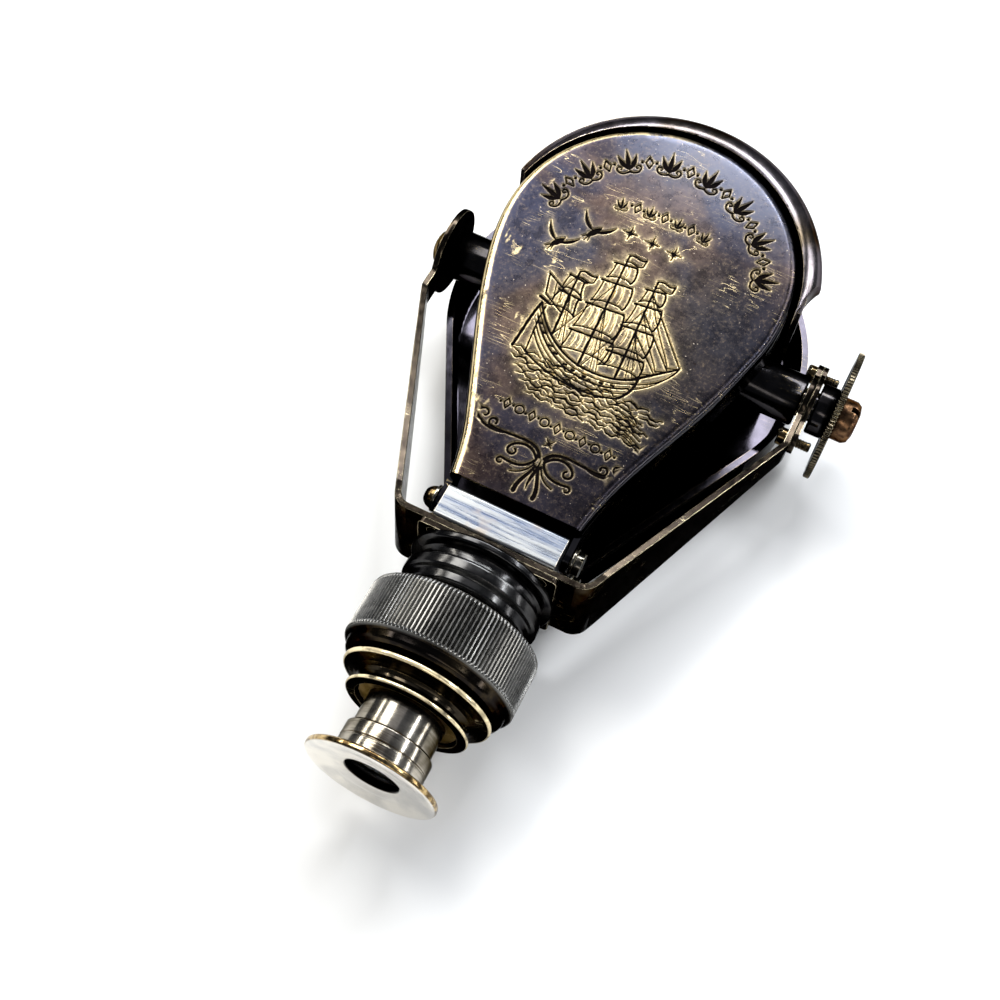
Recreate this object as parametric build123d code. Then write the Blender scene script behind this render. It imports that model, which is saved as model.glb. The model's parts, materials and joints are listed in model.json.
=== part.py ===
from build123d import *
import math
import os

# A folding pocket monocular, folded flat. Every piece is drawn on a bench frame: the optical axis is
# the Y axis, y = 0 is the face of the eyecup, +Y runs to the wide end and +Z is the top cover's side.
# At the end all pieces are moved to the object's own frame, whose origin lies on the flat underside,
# straight below the axis of the two trunnions. Lengths are in millimetres.

# Whole object
AXIS_HEIGHT = 18.5  # optical axis above the flat underside
TRUNNION_Y = 106.0  # trunnion axis from the eyecup's face
BODY_GAP = 0.3  # free space between pieces that move past each other
RUNNING = 0.05  # radial clearance of a shaft in its hole

# Eyepiece, which slides along the axis
TUBE_R = 7.4
TUBE_BORE = 6.4
EYECUP_R = 12.5
EYE_HOLE_R = 5.1
SLEEVE_R = 8.2
SLEEVE_START = 2.4
SLEEVE_END = 7.5
TUBE_END = 37.0
TRAVEL = 3.0  # draw tube, each way from rest
PIN_Y = 26.6
PIN_R = 1.0
PIN_REACH = 10.4

# Focusing ring and its guide tube
GUIDE_BORE = TUBE_R + RUNNING
GUIDE_R = 8.6
GUIDE_START = 14.9
RING_BORE = GUIDE_R + RUNNING
KNURL_R = 16.4
KNURL_START = 20.8
KNURL_END = 31.5
CAP_START = 12.8
CAP_END = 18.2
GROOVE_R = 10.8

# Yoke, base plate and hinge block
STRAP = 1.2
YOKE_Y = 44.5  # middle of the base strap
YOKE_HALF = 18.6
YOKE_TALL = 9.9  # half the height of the base strap
ARM_X = 38.8  # middle of the arm's straight end
ARM_BEND_Y = 93.6
ARM_TALL = 3.2  # half the height of an arm at its end
LEFT_HEAD_R = 9.0
RIGHT_HEAD_R = 6.4
BLOCK_HALF = 11.8
BLOCK_TALL = 10.0
BLOCK_END = 52.0
PLATE_HALF = 13.5
PLATE_THICK = 1.2
BLOCK_SCREW_R = 0.8
BLOCK_SCREW_END = 49.0
BLOCK_HEAD_R = 1.3
BLOCK_HEAD_THICK = 0.7

# Cover hinges, on both sides of the block
HINGE_Y = 50.5
HINGE_Z = 5.0
HINGE_PIN_R = 1.3
LUG_R = 2.6
LUG_IN = BLOCK_HALF + BODY_GAP
LUG_OUT = 13.2
WASHER_IN = LUG_OUT + BODY_GAP
WASHER_OUT = WASHER_IN + 0.5
PIVOT_HEAD_R = 2.2
PIVOT_HEAD_OUT = WASHER_OUT + 1.4

# Covers
SHEET = 0.9  # metal thickness of the covers' walls
COVER_TILT = 8.5  # degrees, top cover's face against the optical axis
COVER_Z = 10.0  # top cover's face above the axis at COVER_Y
COVER_Y = 52.0
COVER_START = 2.2  # narrow end, measured along the cover from COVER_Y
COVER_CENTRE = 57.8  # centre of the round end, measured the same way
COVER_R = 29.2
COVER_DEEP = 9.0
COVER_SIDE = ((15.0, 16.5), (26.0, 20.8), (36.0, 24.6), (46.0, 27.6))  # along the cover, half width
CASING_START = 54.5
CASING_HALF = 13.6
CASING_CENTRE = 110.0
CASING_R = 37.0
CASING_RIM = -6.5  # top of the casing's wall against the axis

# Front guard: a wall that stands in the casing, and a rolled lip on it, parallel to the top cover
GUARD_R = 30.3
GUARD_CENTRE_Y = 112.7
GUARD_START_Y = 112.8
GUARD_LEFT_START_Y = 118.6  # the wall starts later on the left
GUARD_GAP = 1.0  # between the top cover's rim and the lip
LIP_R = 32.8
LIP_CENTRE = 60.9  # measured along the cover from COVER_Y
LIP_SHIFT = 0.8  # the lip stands a little to the right of the axis
LIP_FOOT = 7.0  # lip's lowest edge below the cover's face

# Objective cell and trunnions
CELL_R = 25.5
CELL_BORE = 23.3
CELL_TALL = 7.5  # half its height
SHOULDER_BORE = 21.4
CROWN_THICK = 4.4
CROWN_SAGITTA = 3.0
FLINT_THICK = 2.6
FLINT_SAGITTA = 1.2
BOSS_R = 5.2
BOSS_SEAT = 24.4
JOURNAL_R = 3.0
HEAD_IN = ARM_X - STRAP / 2
HEAD_OUT = ARM_X + STRAP / 2
BEARING_THICK = 1.0
HUB_END = 44.2
WHEEL_R = 13.2
WHEEL_THICK = 1.3
SCREW_R = 1.6
BEARING_SCREW_YS = (-9.3, 7.2)  # from the trunnion axis
EAR_START = -11.6
EAR_END = 9.4
EAR_TALL = 2.6  # half its height


def turned_y(profile):
    """A solid turned about the optical axis, from its outline as (y, radius) points."""
    outline = Polyline(*[(radius, y) for y, radius in profile], close=True)
    return revolve(make_face(outline), Axis.Y)


def turned_x(profile):
    """A solid turned about the trunnion axis, from its outline as (x, radius) points."""
    outline = Polyline(*profile, close=True)
    return Pos(0, TRUNNION_Y, 0) * revolve(make_face(outline), Axis.X)


def turned_z(outline):
    """A solid turned about the folded cell's upright axis, from a flat (radius, z) outline."""
    return Pos(0, TRUNNION_Y, 0) * revolve(Plane.XZ * make_face(outline), Axis.Z)


def ring_y(start, end, inner, outer):
    """A plain ring about the optical axis."""
    return turned_y([(start, inner), (start, outer), (end, outer), (end, inner)])


def rod_x(x0, x1, radius, y=0.0, z=0.0):
    """A round rod along X."""
    rod = Cylinder(radius, abs(x1 - x0), rotation=(0, 90, 0))
    return Pos((x0 + x1) / 2, y, z) * rod


def rod_y(y0, y1, radius, x=0.0, z=0.0):
    """A round rod along Y."""
    rod = Cylinder(radius, abs(y1 - y0), rotation=(90, 0, 0))
    return Pos(x, (y0 + y1) / 2, z) * rod


def block(x0, x1, y0, y1, z0, z1):
    """A box between two corners."""
    centre = Pos((x0 + x1) / 2, (y0 + y1) / 2, (z0 + z1) / 2)
    return centre * Box(x1 - x0, y1 - y0, z1 - z0)


def pair(piece):
    """A piece and its mirror image on the other side of the optical axis."""
    return [piece, mirror(piece, about=Plane.YZ)]


def teardrop(half_width, start, centre, radius):
    """A flat outline: a straight narrow end, and straight sides that touch a round wide end."""
    to_corner = math.atan2(start - centre, half_width)
    turn = math.acos(radius / math.hypot(half_width, start - centre))
    touch_x = radius * math.cos(to_corner + turn)
    touch_y = centre + radius * math.sin(to_corner + turn)
    narrow = Polyline((-touch_x, touch_y), (-half_width, start), (half_width, start), (touch_x, touch_y))
    wide = ThreePointArc((touch_x, touch_y), (0, centre + radius), (-touch_x, touch_y))
    return make_face(narrow + wide)


def cover_frame(shape):
    """Moves a shape drawn flat, with its face at z = 0, onto the tilted plane of the top cover."""
    return Location((0, COVER_Y, COVER_Z), (COVER_TILT, 0, 0)) * shape


# Eyepiece


def eyecup():
    outline = [
        (1.0, EYE_HOLE_R),
        (0.7, 6.2),
        (0.0, EYECUP_R - 0.6),
        (0.15, EYECUP_R - 0.2),
        (0.5, EYECUP_R),
        (1.2, EYECUP_R),
        (1.5, EYECUP_R - 0.5),
        (1.9, 10.6),
        (SLEEVE_START, 9.2),
        (SLEEVE_START, EYE_HOLE_R),
    ]
    return turned_y(outline)


def eye_sleeve():
    waist = [(4.4, SLEEVE_R), (4.5, SLEEVE_R - 0.15), (4.7, SLEEVE_R - 0.15), (4.8, SLEEVE_R)]
    end = [(SLEEVE_END - 0.2, SLEEVE_R), (SLEEVE_END, SLEEVE_R - 0.2), (SLEEVE_END, TUBE_R)]
    return turned_y([(SLEEVE_START, TUBE_R), (SLEEVE_START, SLEEVE_R)] + waist + end)


def draw_tube():
    tube = ring_y(SLEEVE_START, TUBE_END, TUBE_BORE, TUBE_R)
    pin_hole = Pos(0, PIN_Y, -TUBE_R) * Cylinder(PIN_R, 4 * (TUBE_R - TUBE_BORE))
    return tube - pin_hole


def sphere_radius(lens_radius, sagitta):
    """Radius of the sphere whose cap has this radius and this height."""
    return (lens_radius**2 + sagitta**2) / (2 * sagitta)


def lens_y(start, end, radius, crown):
    """A plano-convex lens about the optical axis, with its flat side towards the eye."""
    curve = sphere_radius(radius, crown)
    return rod_y(start, end, radius) & Pos(0, end - curve, 0) * Sphere(curve)


def drive_pin():
    length = PIN_REACH - TUBE_BORE
    return Pos(0, PIN_Y, -(PIN_REACH + TUBE_BORE) / 2) * Cylinder(PIN_R, length)


# Focusing ring


def focus_cap():
    front_flange = [(CAP_START, 9.8), (CAP_START, 11.6), (13.0, 11.8), (13.5, 11.8)]
    hollow = [(13.9, 11.1), (14.5, 10.5), (15.2, 10.5), (15.9, 11.2), (16.4, 12.6), (16.6, 14.0)]
    rear_flange = [(16.8, 14.3), (17.2, 14.3), (17.5, 14.0), (17.8, 13.0), (CAP_END, 13.0)]
    inside = [(CAP_END, RING_BORE), (15.3, RING_BORE), (15.3, 9.8)]
    return turned_y(front_flange + hollow + rear_flange + inside)


def focus_ring():
    shoulder = [(CAP_END, RING_BORE), (CAP_END, 13.0), (18.5, 14.6), (19.1, 15.2), (20.5, 15.4)]
    grip = [(KNURL_START, 16.0), (21.1, KNURL_R), (KNURL_END - 0.5, KNURL_R), (KNURL_END, 15.8)]
    hub = [(31.7, 13.4), (32.1, 12.0), (33.0, 11.8), (33.0, RING_BORE)]
    groove_end = PIN_Y + PIN_R + TRAVEL + 0.4
    groove_start = PIN_Y - PIN_R - TRAVEL - 0.4
    groove = [(groove_end, RING_BORE), (groove_end, GROOVE_R)]
    groove += [(groove_start, GROOVE_R), (groove_start, RING_BORE)]
    return turned_y(shoulder + grip + hub + groove)


# Yoke and what is fixed to it


def guide_tube():
    tube = ring_y(GUIDE_START, BLOCK_END, GUIDE_BORE, GUIDE_R)
    half_slot = PIN_R + TRAVEL + 0.3
    half_wide = PIN_R + 0.2
    y0, y1 = PIN_Y - half_slot, PIN_Y + half_slot
    return tube - block(-half_wide, half_wide, y0, y1, -GUIDE_R - 1, -GUIDE_BORE + 1)


def collar():
    neck = [(33.4, GUIDE_R), (33.4, 11.6), (34.0, 12.3), (35.6, 12.3)]
    bead = [(36.2, 13.0), (36.7, 13.4), (38.1, 13.4), (38.6, 13.0)]
    waist = [(39.0, 11.9), (40.4, 11.7), (40.8, 12.4)]
    foot_end = YOKE_Y - STRAP / 2 - PLATE_THICK
    flange = [(41.1, 13.8), (41.4, 14.1), (42.3, 14.1), (foot_end, 13.8), (foot_end, GUIDE_R)]
    return turned_y(neck + bead + waist + flange)


def yoke_head(radius, thick, side):
    """A round head of an arm, on the trunnion axis. Side is -1 for left and 1 for right."""
    return rod_x(side * (ARM_X - thick / 2), side * (ARM_X + thick / 2), radius, TRUNNION_Y)


def bearing_ear(x0, x1):
    """A round-cornered bar along Y that carries the two bearing screws."""
    bar = block(x0, x1, TRUNNION_Y + EAR_START, TRUNNION_Y + EAR_END, -EAR_TALL, EAR_TALL)
    return fillet(bar.edges().filter_by(Axis.X), EAR_TALL - 0.2)


def yoke():
    route = [
        (-ARM_X, TRUNNION_Y - 3),
        (-ARM_X, ARM_BEND_Y),
        (-YOKE_HALF, YOKE_Y),
        (YOKE_HALF, YOKE_Y),
        (ARM_X, ARM_BEND_Y),
        (ARM_X, TRUNNION_Y - 3),
    ]
    centreline = FilletPolyline(*route, radius=3.0)
    strap = extrude(trace(centreline, line_width=STRAP), YOKE_TALL, both=True)
    taper = Polyline(
        (YOKE_Y - 5, YOKE_TALL),
        (YOKE_Y + 4, YOKE_TALL - 0.3),
        (ARM_BEND_Y, ARM_TALL),
        (TRUNNION_Y, ARM_TALL),
        (TRUNNION_Y, -ARM_TALL),
        (ARM_BEND_Y, -ARM_TALL),
        (YOKE_Y + 4, -YOKE_TALL + 0.3),
        (YOKE_Y - 5, -YOKE_TALL),
        close=True,
    )
    side_shape = extrude(Plane.YZ * make_face(taper), ARM_X + 5, both=True)
    body = strap & side_shape
    body += yoke_head(LEFT_HEAD_R, STRAP, -1)
    body += yoke_head(RIGHT_HEAD_R - 0.5, STRAP, 1)
    body += bearing_ear(HEAD_IN, HEAD_OUT)
    for side in (-1, 1):
        body -= rod_x(side * (HEAD_IN - 1), side * (HEAD_OUT + 1), JOURNAL_R + RUNNING, TRUNNION_Y)
    for y in BEARING_SCREW_YS:
        body -= rod_x(HEAD_IN - 1, HEAD_OUT + 1, 1.0, TRUNNION_Y + y)
    body -= rod_y(YOKE_Y - 5, YOKE_Y + 5, GUIDE_R)
    for x, z in block_screw_places():
        body -= rod_y(YOKE_Y - 5, YOKE_Y + 5, BLOCK_SCREW_R, x, z)
    return body


def block_screw_places():
    return [(x, z) for x in (-10.4, 10.4) for z in (-8.0, 8.0)]


def yoke_base_plate():
    front = YOKE_Y - STRAP / 2 - PLATE_THICK
    plate = block(-PLATE_HALF, PLATE_HALF, front, front + PLATE_THICK, -YOKE_TALL, YOKE_TALL)
    plate = fillet(plate.edges().filter_by(Axis.Y), 1.0)
    plate -= rod_y(front - 1, front + 5, GUIDE_R)
    for x, z in block_screw_places():
        plate -= rod_y(front - 1, front + 5, BLOCK_SCREW_R, x, z)
        plate -= rod_y(front - 1, front + BLOCK_HEAD_THICK, BLOCK_HEAD_R, x, z)
    return plate


def hinge_block():
    start = YOKE_Y + STRAP / 2
    body = block(-BLOCK_HALF, BLOCK_HALF, start, BLOCK_END, -BLOCK_TALL, BLOCK_TALL)
    body = fillet(body.edges().filter_by(Axis.X), 0.7)
    body -= rod_y(start - 1, BLOCK_END + 1, GUIDE_R)
    for x, z in block_screw_places():
        body -= rod_y(start - 1, BLOCK_SCREW_END, BLOCK_SCREW_R, x, z)
    for side in (-1, 1):
        for z in (-HINGE_Z, HINGE_Z):
            body -= rod_x(side * 9.6, side * (BLOCK_HALF + 1), HINGE_PIN_R, HINGE_Y, z)
    return body


def block_screws():
    """Screws from the base plate into the block, their heads sunk flush under the collar."""
    front = YOKE_Y - STRAP / 2 - PLATE_THICK
    screws = []
    for x, z in block_screw_places():
        shank = rod_y(front, BLOCK_SCREW_END, BLOCK_SCREW_R, x, z)
        screws.append(shank + rod_y(front, front + BLOCK_HEAD_THICK, BLOCK_HEAD_R, x, z))
    return screws


def pivot_washers():
    washers = []
    for z in (-HINGE_Z, HINGE_Z):
        disc = rod_x(WASHER_IN, WASHER_OUT, 2.6, HINGE_Y, z)
        washers += pair(disc - rod_x(WASHER_IN - 1, WASHER_OUT + 1, HINGE_PIN_R, HINGE_Y, z))
    return washers


def left_pivot_screws():
    """Screws with a domed head, one for each cover."""
    screws = []
    for z in (-HINGE_Z, HINGE_Z):
        head = Pos(-WASHER_OUT, HINGE_Y, z) * Sphere(PIVOT_HEAD_R)
        head &= block(-WASHER_OUT - 1.9, -WASHER_OUT, HINGE_Y - 4, HINGE_Y + 4, z - 4, z + 4)
        screws.append(rod_x(-9.6, -WASHER_OUT, HINGE_PIN_R, HINGE_Y, z) + head)
    return screws


def right_pivot_screws():
    """Screws with a slotted flat head, one for each cover."""
    screws = []
    for z in (-HINGE_Z, HINGE_Z):
        screw = rod_x(9.6, WASHER_OUT, HINGE_PIN_R, HINGE_Y, z)
        screw += rod_x(WASHER_OUT, PIVOT_HEAD_OUT, PIVOT_HEAD_R, HINGE_Y, z)
        low, high = HINGE_Y - 0.25, HINGE_Y + 0.25
        screw -= block(PIVOT_HEAD_OUT - 0.6, PIVOT_HEAD_OUT + 1, low, high, z - 4, z + 4)
        screws.append(screw)
    return screws


def bearing_plate():
    plate = rod_x(HEAD_OUT, HEAD_OUT + BEARING_THICK, RIGHT_HEAD_R, TRUNNION_Y)
    plate += bearing_ear(HEAD_OUT, HEAD_OUT + BEARING_THICK)
    plate -= rod_x(HEAD_OUT - 1, HEAD_OUT + 3, JOURNAL_R + RUNNING, TRUNNION_Y)
    for y in BEARING_SCREW_YS:
        plate -= rod_x(HEAD_OUT - 1, HEAD_OUT + 3, 1.0, TRUNNION_Y + y)
    return plate


def bearing_plate_screws():
    screws = []
    for offset in BEARING_SCREW_YS:
        y = TRUNNION_Y + offset
        screw = rod_x(HEAD_IN, HUB_END - 1.0, 1.0, y)
        screw += rod_x(HEAD_IN - 1.7, HEAD_IN, 1.8, y)
        screw -= block(HEAD_IN - 3, HEAD_IN - 1.1, y - 0.2, y + 0.2, -3, 3)
        screws.append(screw)
    return screws


# Objective cell, which turns on its two trunnions


def cell_barrel():
    tall = CELL_TALL
    chamfer_at = tall - 0.5
    outline = Polyline(
        (CELL_BORE, -tall),
        (CELL_R - 0.5, -tall),
        (CELL_R, -chamfer_at),
        (CELL_R, chamfer_at),
        (CELL_R - 0.5, tall),
        (CELL_BORE, tall),
        (CELL_BORE, -FLINT_THICK),
        (SHOULDER_BORE, -FLINT_THICK),
        (SHOULDER_BORE, -FLINT_THICK - 1.0),
        (CELL_BORE, -FLINT_THICK - 1.0),
        close=True,
    )
    body = turned_z(outline)
    for side in (-1, 1):
        body -= rod_x(side * BOSS_SEAT, side * (CELL_R + 1), BOSS_R, TRUNNION_Y)
    return body


def crown_lens():
    """Plano-convex front element, cemented with its flat side on the flint."""
    curve = sphere_radius(CELL_BORE, CROWN_SAGITTA)
    disc = Pos(0, TRUNNION_Y, CROWN_THICK / 2) * Cylinder(CELL_BORE, CROWN_THICK)
    return disc & Pos(0, TRUNNION_Y, CROWN_THICK - curve) * Sphere(curve)


def flint_lens():
    """Plano-concave rear element, resting on the cell's shoulder."""
    curve = sphere_radius(SHOULDER_BORE, FLINT_SAGITTA)
    disc = Pos(0, TRUNNION_Y, -FLINT_THICK / 2) * Cylinder(CELL_BORE, FLINT_THICK)
    return disc - Pos(0, TRUNNION_Y, FLINT_SAGITTA - FLINT_THICK - curve) * Sphere(curve)


def objective_retaining_ring():
    outline = Polyline((21.0, 2.1), (CELL_BORE, 2.1), (CELL_BORE, 4.2), (21.4, 4.2), (21.0, 3.8), close=True)
    ring = turned_z(outline)
    for side in (-1, 1):
        x = side * 22.3
        ring -= block(x - 1.5, x + 1.5, TRUNNION_Y - 0.6, TRUNNION_Y + 0.6, 3.3, 5)
    return ring


def left_trunnion():
    boss_end = HEAD_IN - BODY_GAP
    journal_end = HEAD_OUT + BODY_GAP
    outline = [(BOSS_SEAT, 0), (BOSS_SEAT, BOSS_R), (boss_end - 0.4, BOSS_R), (boss_end, BOSS_R - 0.4)]
    outline += [(boss_end, JOURNAL_R), (journal_end, JOURNAL_R), (journal_end, SCREW_R)]
    outline += [(33.0, SCREW_R), (33.0, 0)]
    return turned_x([(-x, radius) for x, radius in outline])


def left_trunnion_washer():
    seat = HEAD_OUT + BODY_GAP
    return turned_x([(-seat, SCREW_R), (-seat, 4.6), (-seat - 0.6, 4.6), (-seat - 0.6, SCREW_R)])


def left_trunnion_screw():
    seat = HEAD_OUT + BODY_GAP + 0.6
    dome = [(0.0, 3.9), (0.7, 3.8), (1.4, 3.2), (1.9, 2.2), (2.2, 1.0), (2.25, 0.0)]
    outline = [(33.0, 0), (33.0, SCREW_R), (seat, SCREW_R)] + [(seat + rise, radius) for rise, radius in dome]
    screw = turned_x([(-x, radius) for x, radius in outline])
    slot = block(-seat - 3, -seat - 1.5, TRUNNION_Y - 0.35, TRUNNION_Y + 0.35, -5, 5)
    return screw - slot


def right_trunnion():
    boss_end = HEAD_IN - BODY_GAP
    outline = [(BOSS_SEAT, 0), (BOSS_SEAT, BOSS_R), (boss_end - 0.4, BOSS_R), (boss_end, BOSS_R - 0.4)]
    outline += [(boss_end, JOURNAL_R), (HUB_END, JOURNAL_R), (HUB_END, SCREW_R), (36.0, SCREW_R), (36.0, 0)]
    return turned_x(outline)


def thumbwheel_hub():
    start = HEAD_OUT + BEARING_THICK + BODY_GAP
    outline = [(start, JOURNAL_R), (start, BOSS_R - 0.3), (start + 0.3, BOSS_R), (HUB_END - 0.3, BOSS_R)]
    return turned_x(outline + [(HUB_END, BOSS_R - 0.3), (HUB_END, JOURNAL_R)])


def thumbwheel():
    far = HUB_END + WHEEL_THICK
    return turned_x([(HUB_END, SCREW_R), (HUB_END, WHEEL_R), (far, WHEEL_R), (far, SCREW_R)])


def thumbwheel_screw():
    seat = HUB_END + WHEEL_THICK
    head = [(0.0, 4.1), (0.3, 4.35), (2.6, 4.35), (3.5, 3.8), (3.9, 2.6), (4.0, 0.0)]
    shank = [(36.0, 0), (36.0, SCREW_R), (seat, SCREW_R)]
    screw = turned_x(shank + [(seat + rise, radius) for rise, radius in head])
    slot = block(seat + 1.9, seat + 5, TRUNNION_Y - 0.6, TRUNNION_Y + 0.6, -6, 6)
    return screw - slot


# Covers


def lug(z, wall_y, wall_z):
    """A flat ear round a cover hinge, running on into the cover's wall at (wall_y, wall_z)."""
    sign = math.copysign(1, z)
    neck = Polyline(
        (HINGE_Y, z + sign * LUG_R),
        (wall_y, wall_z + sign * 1.5),
        (wall_y + 3, wall_z + sign * 1.5),
        (wall_y + 3, wall_z - sign * 3),
        (HINGE_Y, z - sign * LUG_R),
        close=True,
    )
    flat = make_face(neck) + Pos(HINGE_Y, z) * Circle(LUG_R)
    flat -= Pos(HINGE_Y, z) * Circle(HINGE_PIN_R + RUNNING)
    ear = Pos(LUG_IN, 0, 0) * extrude(Plane.YZ * flat, LUG_OUT - LUG_IN)
    return ear


def cover_outline(inset):
    """The top cover from above: gently bowed sides that run into a round wide end."""
    half = LUG_OUT - inset
    start = COVER_START + inset
    radius = COVER_R - inset
    sides = [(wide - inset, along) for along, wide in COVER_SIDE]
    sides = [(half, start)] + sides + [(radius, COVER_CENTRE)]
    right = Spline(*sides, tangents=[(0.15, 1), (0, 1)])
    front = ThreePointArc((radius, COVER_CENTRE), (0, COVER_CENTRE + radius), (-radius, COVER_CENTRE))
    left = Spline(*[(-x, y) for x, y in reversed(sides)], tangents=[(0, -1), (0.15, -1)])
    return make_face([right, front, left, Line((-half, start), (half, start))])


def top_cover():
    shell = extrude(cover_outline(0), -COVER_DEEP)
    rim = [e for e in shell.edges().group_by(Axis.Z)[-1] if e.center().Y > COVER_START + 0.1]
    shell = fillet(rim, 2.0)
    hollow = Pos(0, 0, -1.0) * extrude(cover_outline(SHEET), -COVER_DEEP)
    rim = [e for e in hollow.edges().group_by(Axis.Z)[-1] if e.center().Y > COVER_START + 1.5]
    shell -= fillet(rim, 1.2)
    half = LUG_OUT - SHEET
    shell -= block(-half, half, COVER_START - 2, COVER_START + 2, -COVER_DEEP - 1, -1.0)
    body = cover_frame(shell)
    for ear in pair(lug(HINGE_Z, 54.4, 6.6)):
        body += ear
    return body


def bottom_casing():
    outline = teardrop(CASING_HALF, CASING_START, CASING_CENTRE, CASING_R)
    tall = CASING_RIM + AXIS_HEIGHT
    shell = extrude(outline, tall)
    shell = fillet(shell.edges().group_by(Axis.Z)[0], 2.5)
    bead = extrude(offset(outline, 0.4, kind=Kind.ARC), 1.2)
    shell += Pos(0, 0, tall - 1.2) * bead
    hollow = Pos(0, 0, SHEET) * extrude(offset(outline, -SHEET, kind=Kind.INTERSECTION), tall)
    shell -= fillet(hollow.edges().group_by(Axis.Z)[0], 1.6)
    body = Pos(0, 0, -AXIS_HEIGHT) * shell
    for ear in pair(lug(-HINGE_Z, 55.0, -8.6)):
        body += ear
    return body


def guard_lip():
    """The rolled lip, drawn flat. It is concentric with the cover inside and with itself outside."""
    root = COVER_CENTRE + COVER_R + GUARD_GAP - LIP_CENTRE - 1.0
    foot = Polyline((root, -1.0), (root, -LIP_FOOT), (LIP_R, -LIP_FOOT), (LIP_R, -LIP_FOOT + 1.6))
    roll = ThreePointArc((LIP_R, -LIP_FOOT + 1.6), (LIP_R - 1.7, -2.2), (root, -1.0))
    lip = Pos(LIP_SHIFT, LIP_CENTRE, 0) * revolve(Plane.XZ * make_face(foot + roll), Axis.Z)
    return lip - Pos(0, COVER_CENTRE, 0) * Cylinder(COVER_R + GUARD_GAP, 40)


def front_guard():
    """A half round wall that stands in the casing, with the lip along its top."""
    floor = SHEET - AXIS_HEIGHT
    tall = 40.0
    tube = Cylinder(GUARD_R + SHEET, tall) - Cylinder(GUARD_R, tall)
    wall = Pos(0, GUARD_CENTRE_Y, floor + tall / 2) * tube
    wall &= block(0, 50, GUARD_START_Y, 200, -30, 30) + block(-50, 0, GUARD_LEFT_START_Y, 200, -30, 30)
    wall -= cover_frame(Pos(0, 50, 17.0) * Box(200, 200, 40))
    lip = cover_frame(guard_lip()) & block(-50, 50, GUARD_START_Y - 3, 200, -30, 60)
    right_end = Spline((29.0, 108.0), (30.4, 113.0), (31.4, 118.5), (33.0, 122.0), (36.0, 124.0))
    left_end = Spline((29.0, 116.0), (30.6, 119.4), (33.0, 121.4), (36.0, 122.4))
    for end, side in ((right_end, 1), (left_end, -1)):
        first, last = end @ 0, end @ 1
        border = Polyline(last, (50, last.Y), (50, 95), (first.X, 95), first)
        cut = extrude(make_face(end + border), 40, both=True)
        lip -= cut if side > 0 else mirror(cut, about=Plane.YZ)
    return wall + lip


def nodes():
    """Every piece by name, on the bench frame. A list is a group of separate identical pieces."""
    return {
        "eyecup": eyecup(),
        "eye_sleeve": eye_sleeve(),
        "draw_tube": draw_tube(),
        "eye_lens": lens_y(3.0, 5.4, TUBE_BORE, 1.4),
        "eye_lens_ring": ring_y(5.6, 7.2, 5.4, TUBE_BORE),
        "field_stop": ring_y(17.0, 17.8, 4.2, TUBE_BORE),
        "field_lens": lens_y(30.0, 33.0, TUBE_BORE, 1.2),
        "field_lens_ring": ring_y(33.2, 34.6, 5.6, TUBE_BORE),
        "drive_pin": drive_pin(),
        "focus_cap": focus_cap(),
        "focus_ring": focus_ring(),
        "guide_tube": guide_tube(),
        "tube_retaining_ring": ring_y(13.6, GUIDE_START, GUIDE_BORE, 9.4),
        "collar": collar(),
        "yoke_base_plate": yoke_base_plate(),
        "yoke": yoke(),
        "hinge_block": hinge_block(),
        "block_screws": block_screws(),
        "pivot_washers": pivot_washers(),
        "left_pivot_screws": left_pivot_screws(),
        "right_pivot_screws": right_pivot_screws(),
        "bearing_plate": bearing_plate(),
        "bearing_plate_screws": bearing_plate_screws(),
        "cell_barrel": cell_barrel(),
        "crown_lens": crown_lens(),
        "flint_lens": flint_lens(),
        "objective_retaining_ring": objective_retaining_ring(),
        "left_trunnion": left_trunnion(),
        "left_trunnion_washer": left_trunnion_washer(),
        "left_trunnion_screw": left_trunnion_screw(),
        "right_trunnion": right_trunnion(),
        "thumbwheel_hub": thumbwheel_hub(),
        "thumbwheel": thumbwheel(),
        "thumbwheel_screw": thumbwheel_screw(),
        "top_cover": top_cover(),
        "bottom_casing": bottom_casing(),
        "front_guard": front_guard(),
    }


def main():
    os.makedirs("parts", exist_ok=True)
    place = Pos(0, -TRUNNION_Y, AXIS_HEIGHT)
    for name, shape in nodes().items():
        pieces = shape if isinstance(shape, list) else [shape]
        solids = [solid for piece in pieces for solid in (place * piece).solids()]
        result = solids[0] if len(solids) == 1 else Compound(children=solids)
        export_step(result, f"parts/{name}.step")


main()
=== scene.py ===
import json
import math
from itertools import product

import bmesh
import bpy
import numpy as np
from mathutils import Matrix, Vector
from mathutils.geometry import delaunay_2d_cdt


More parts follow.
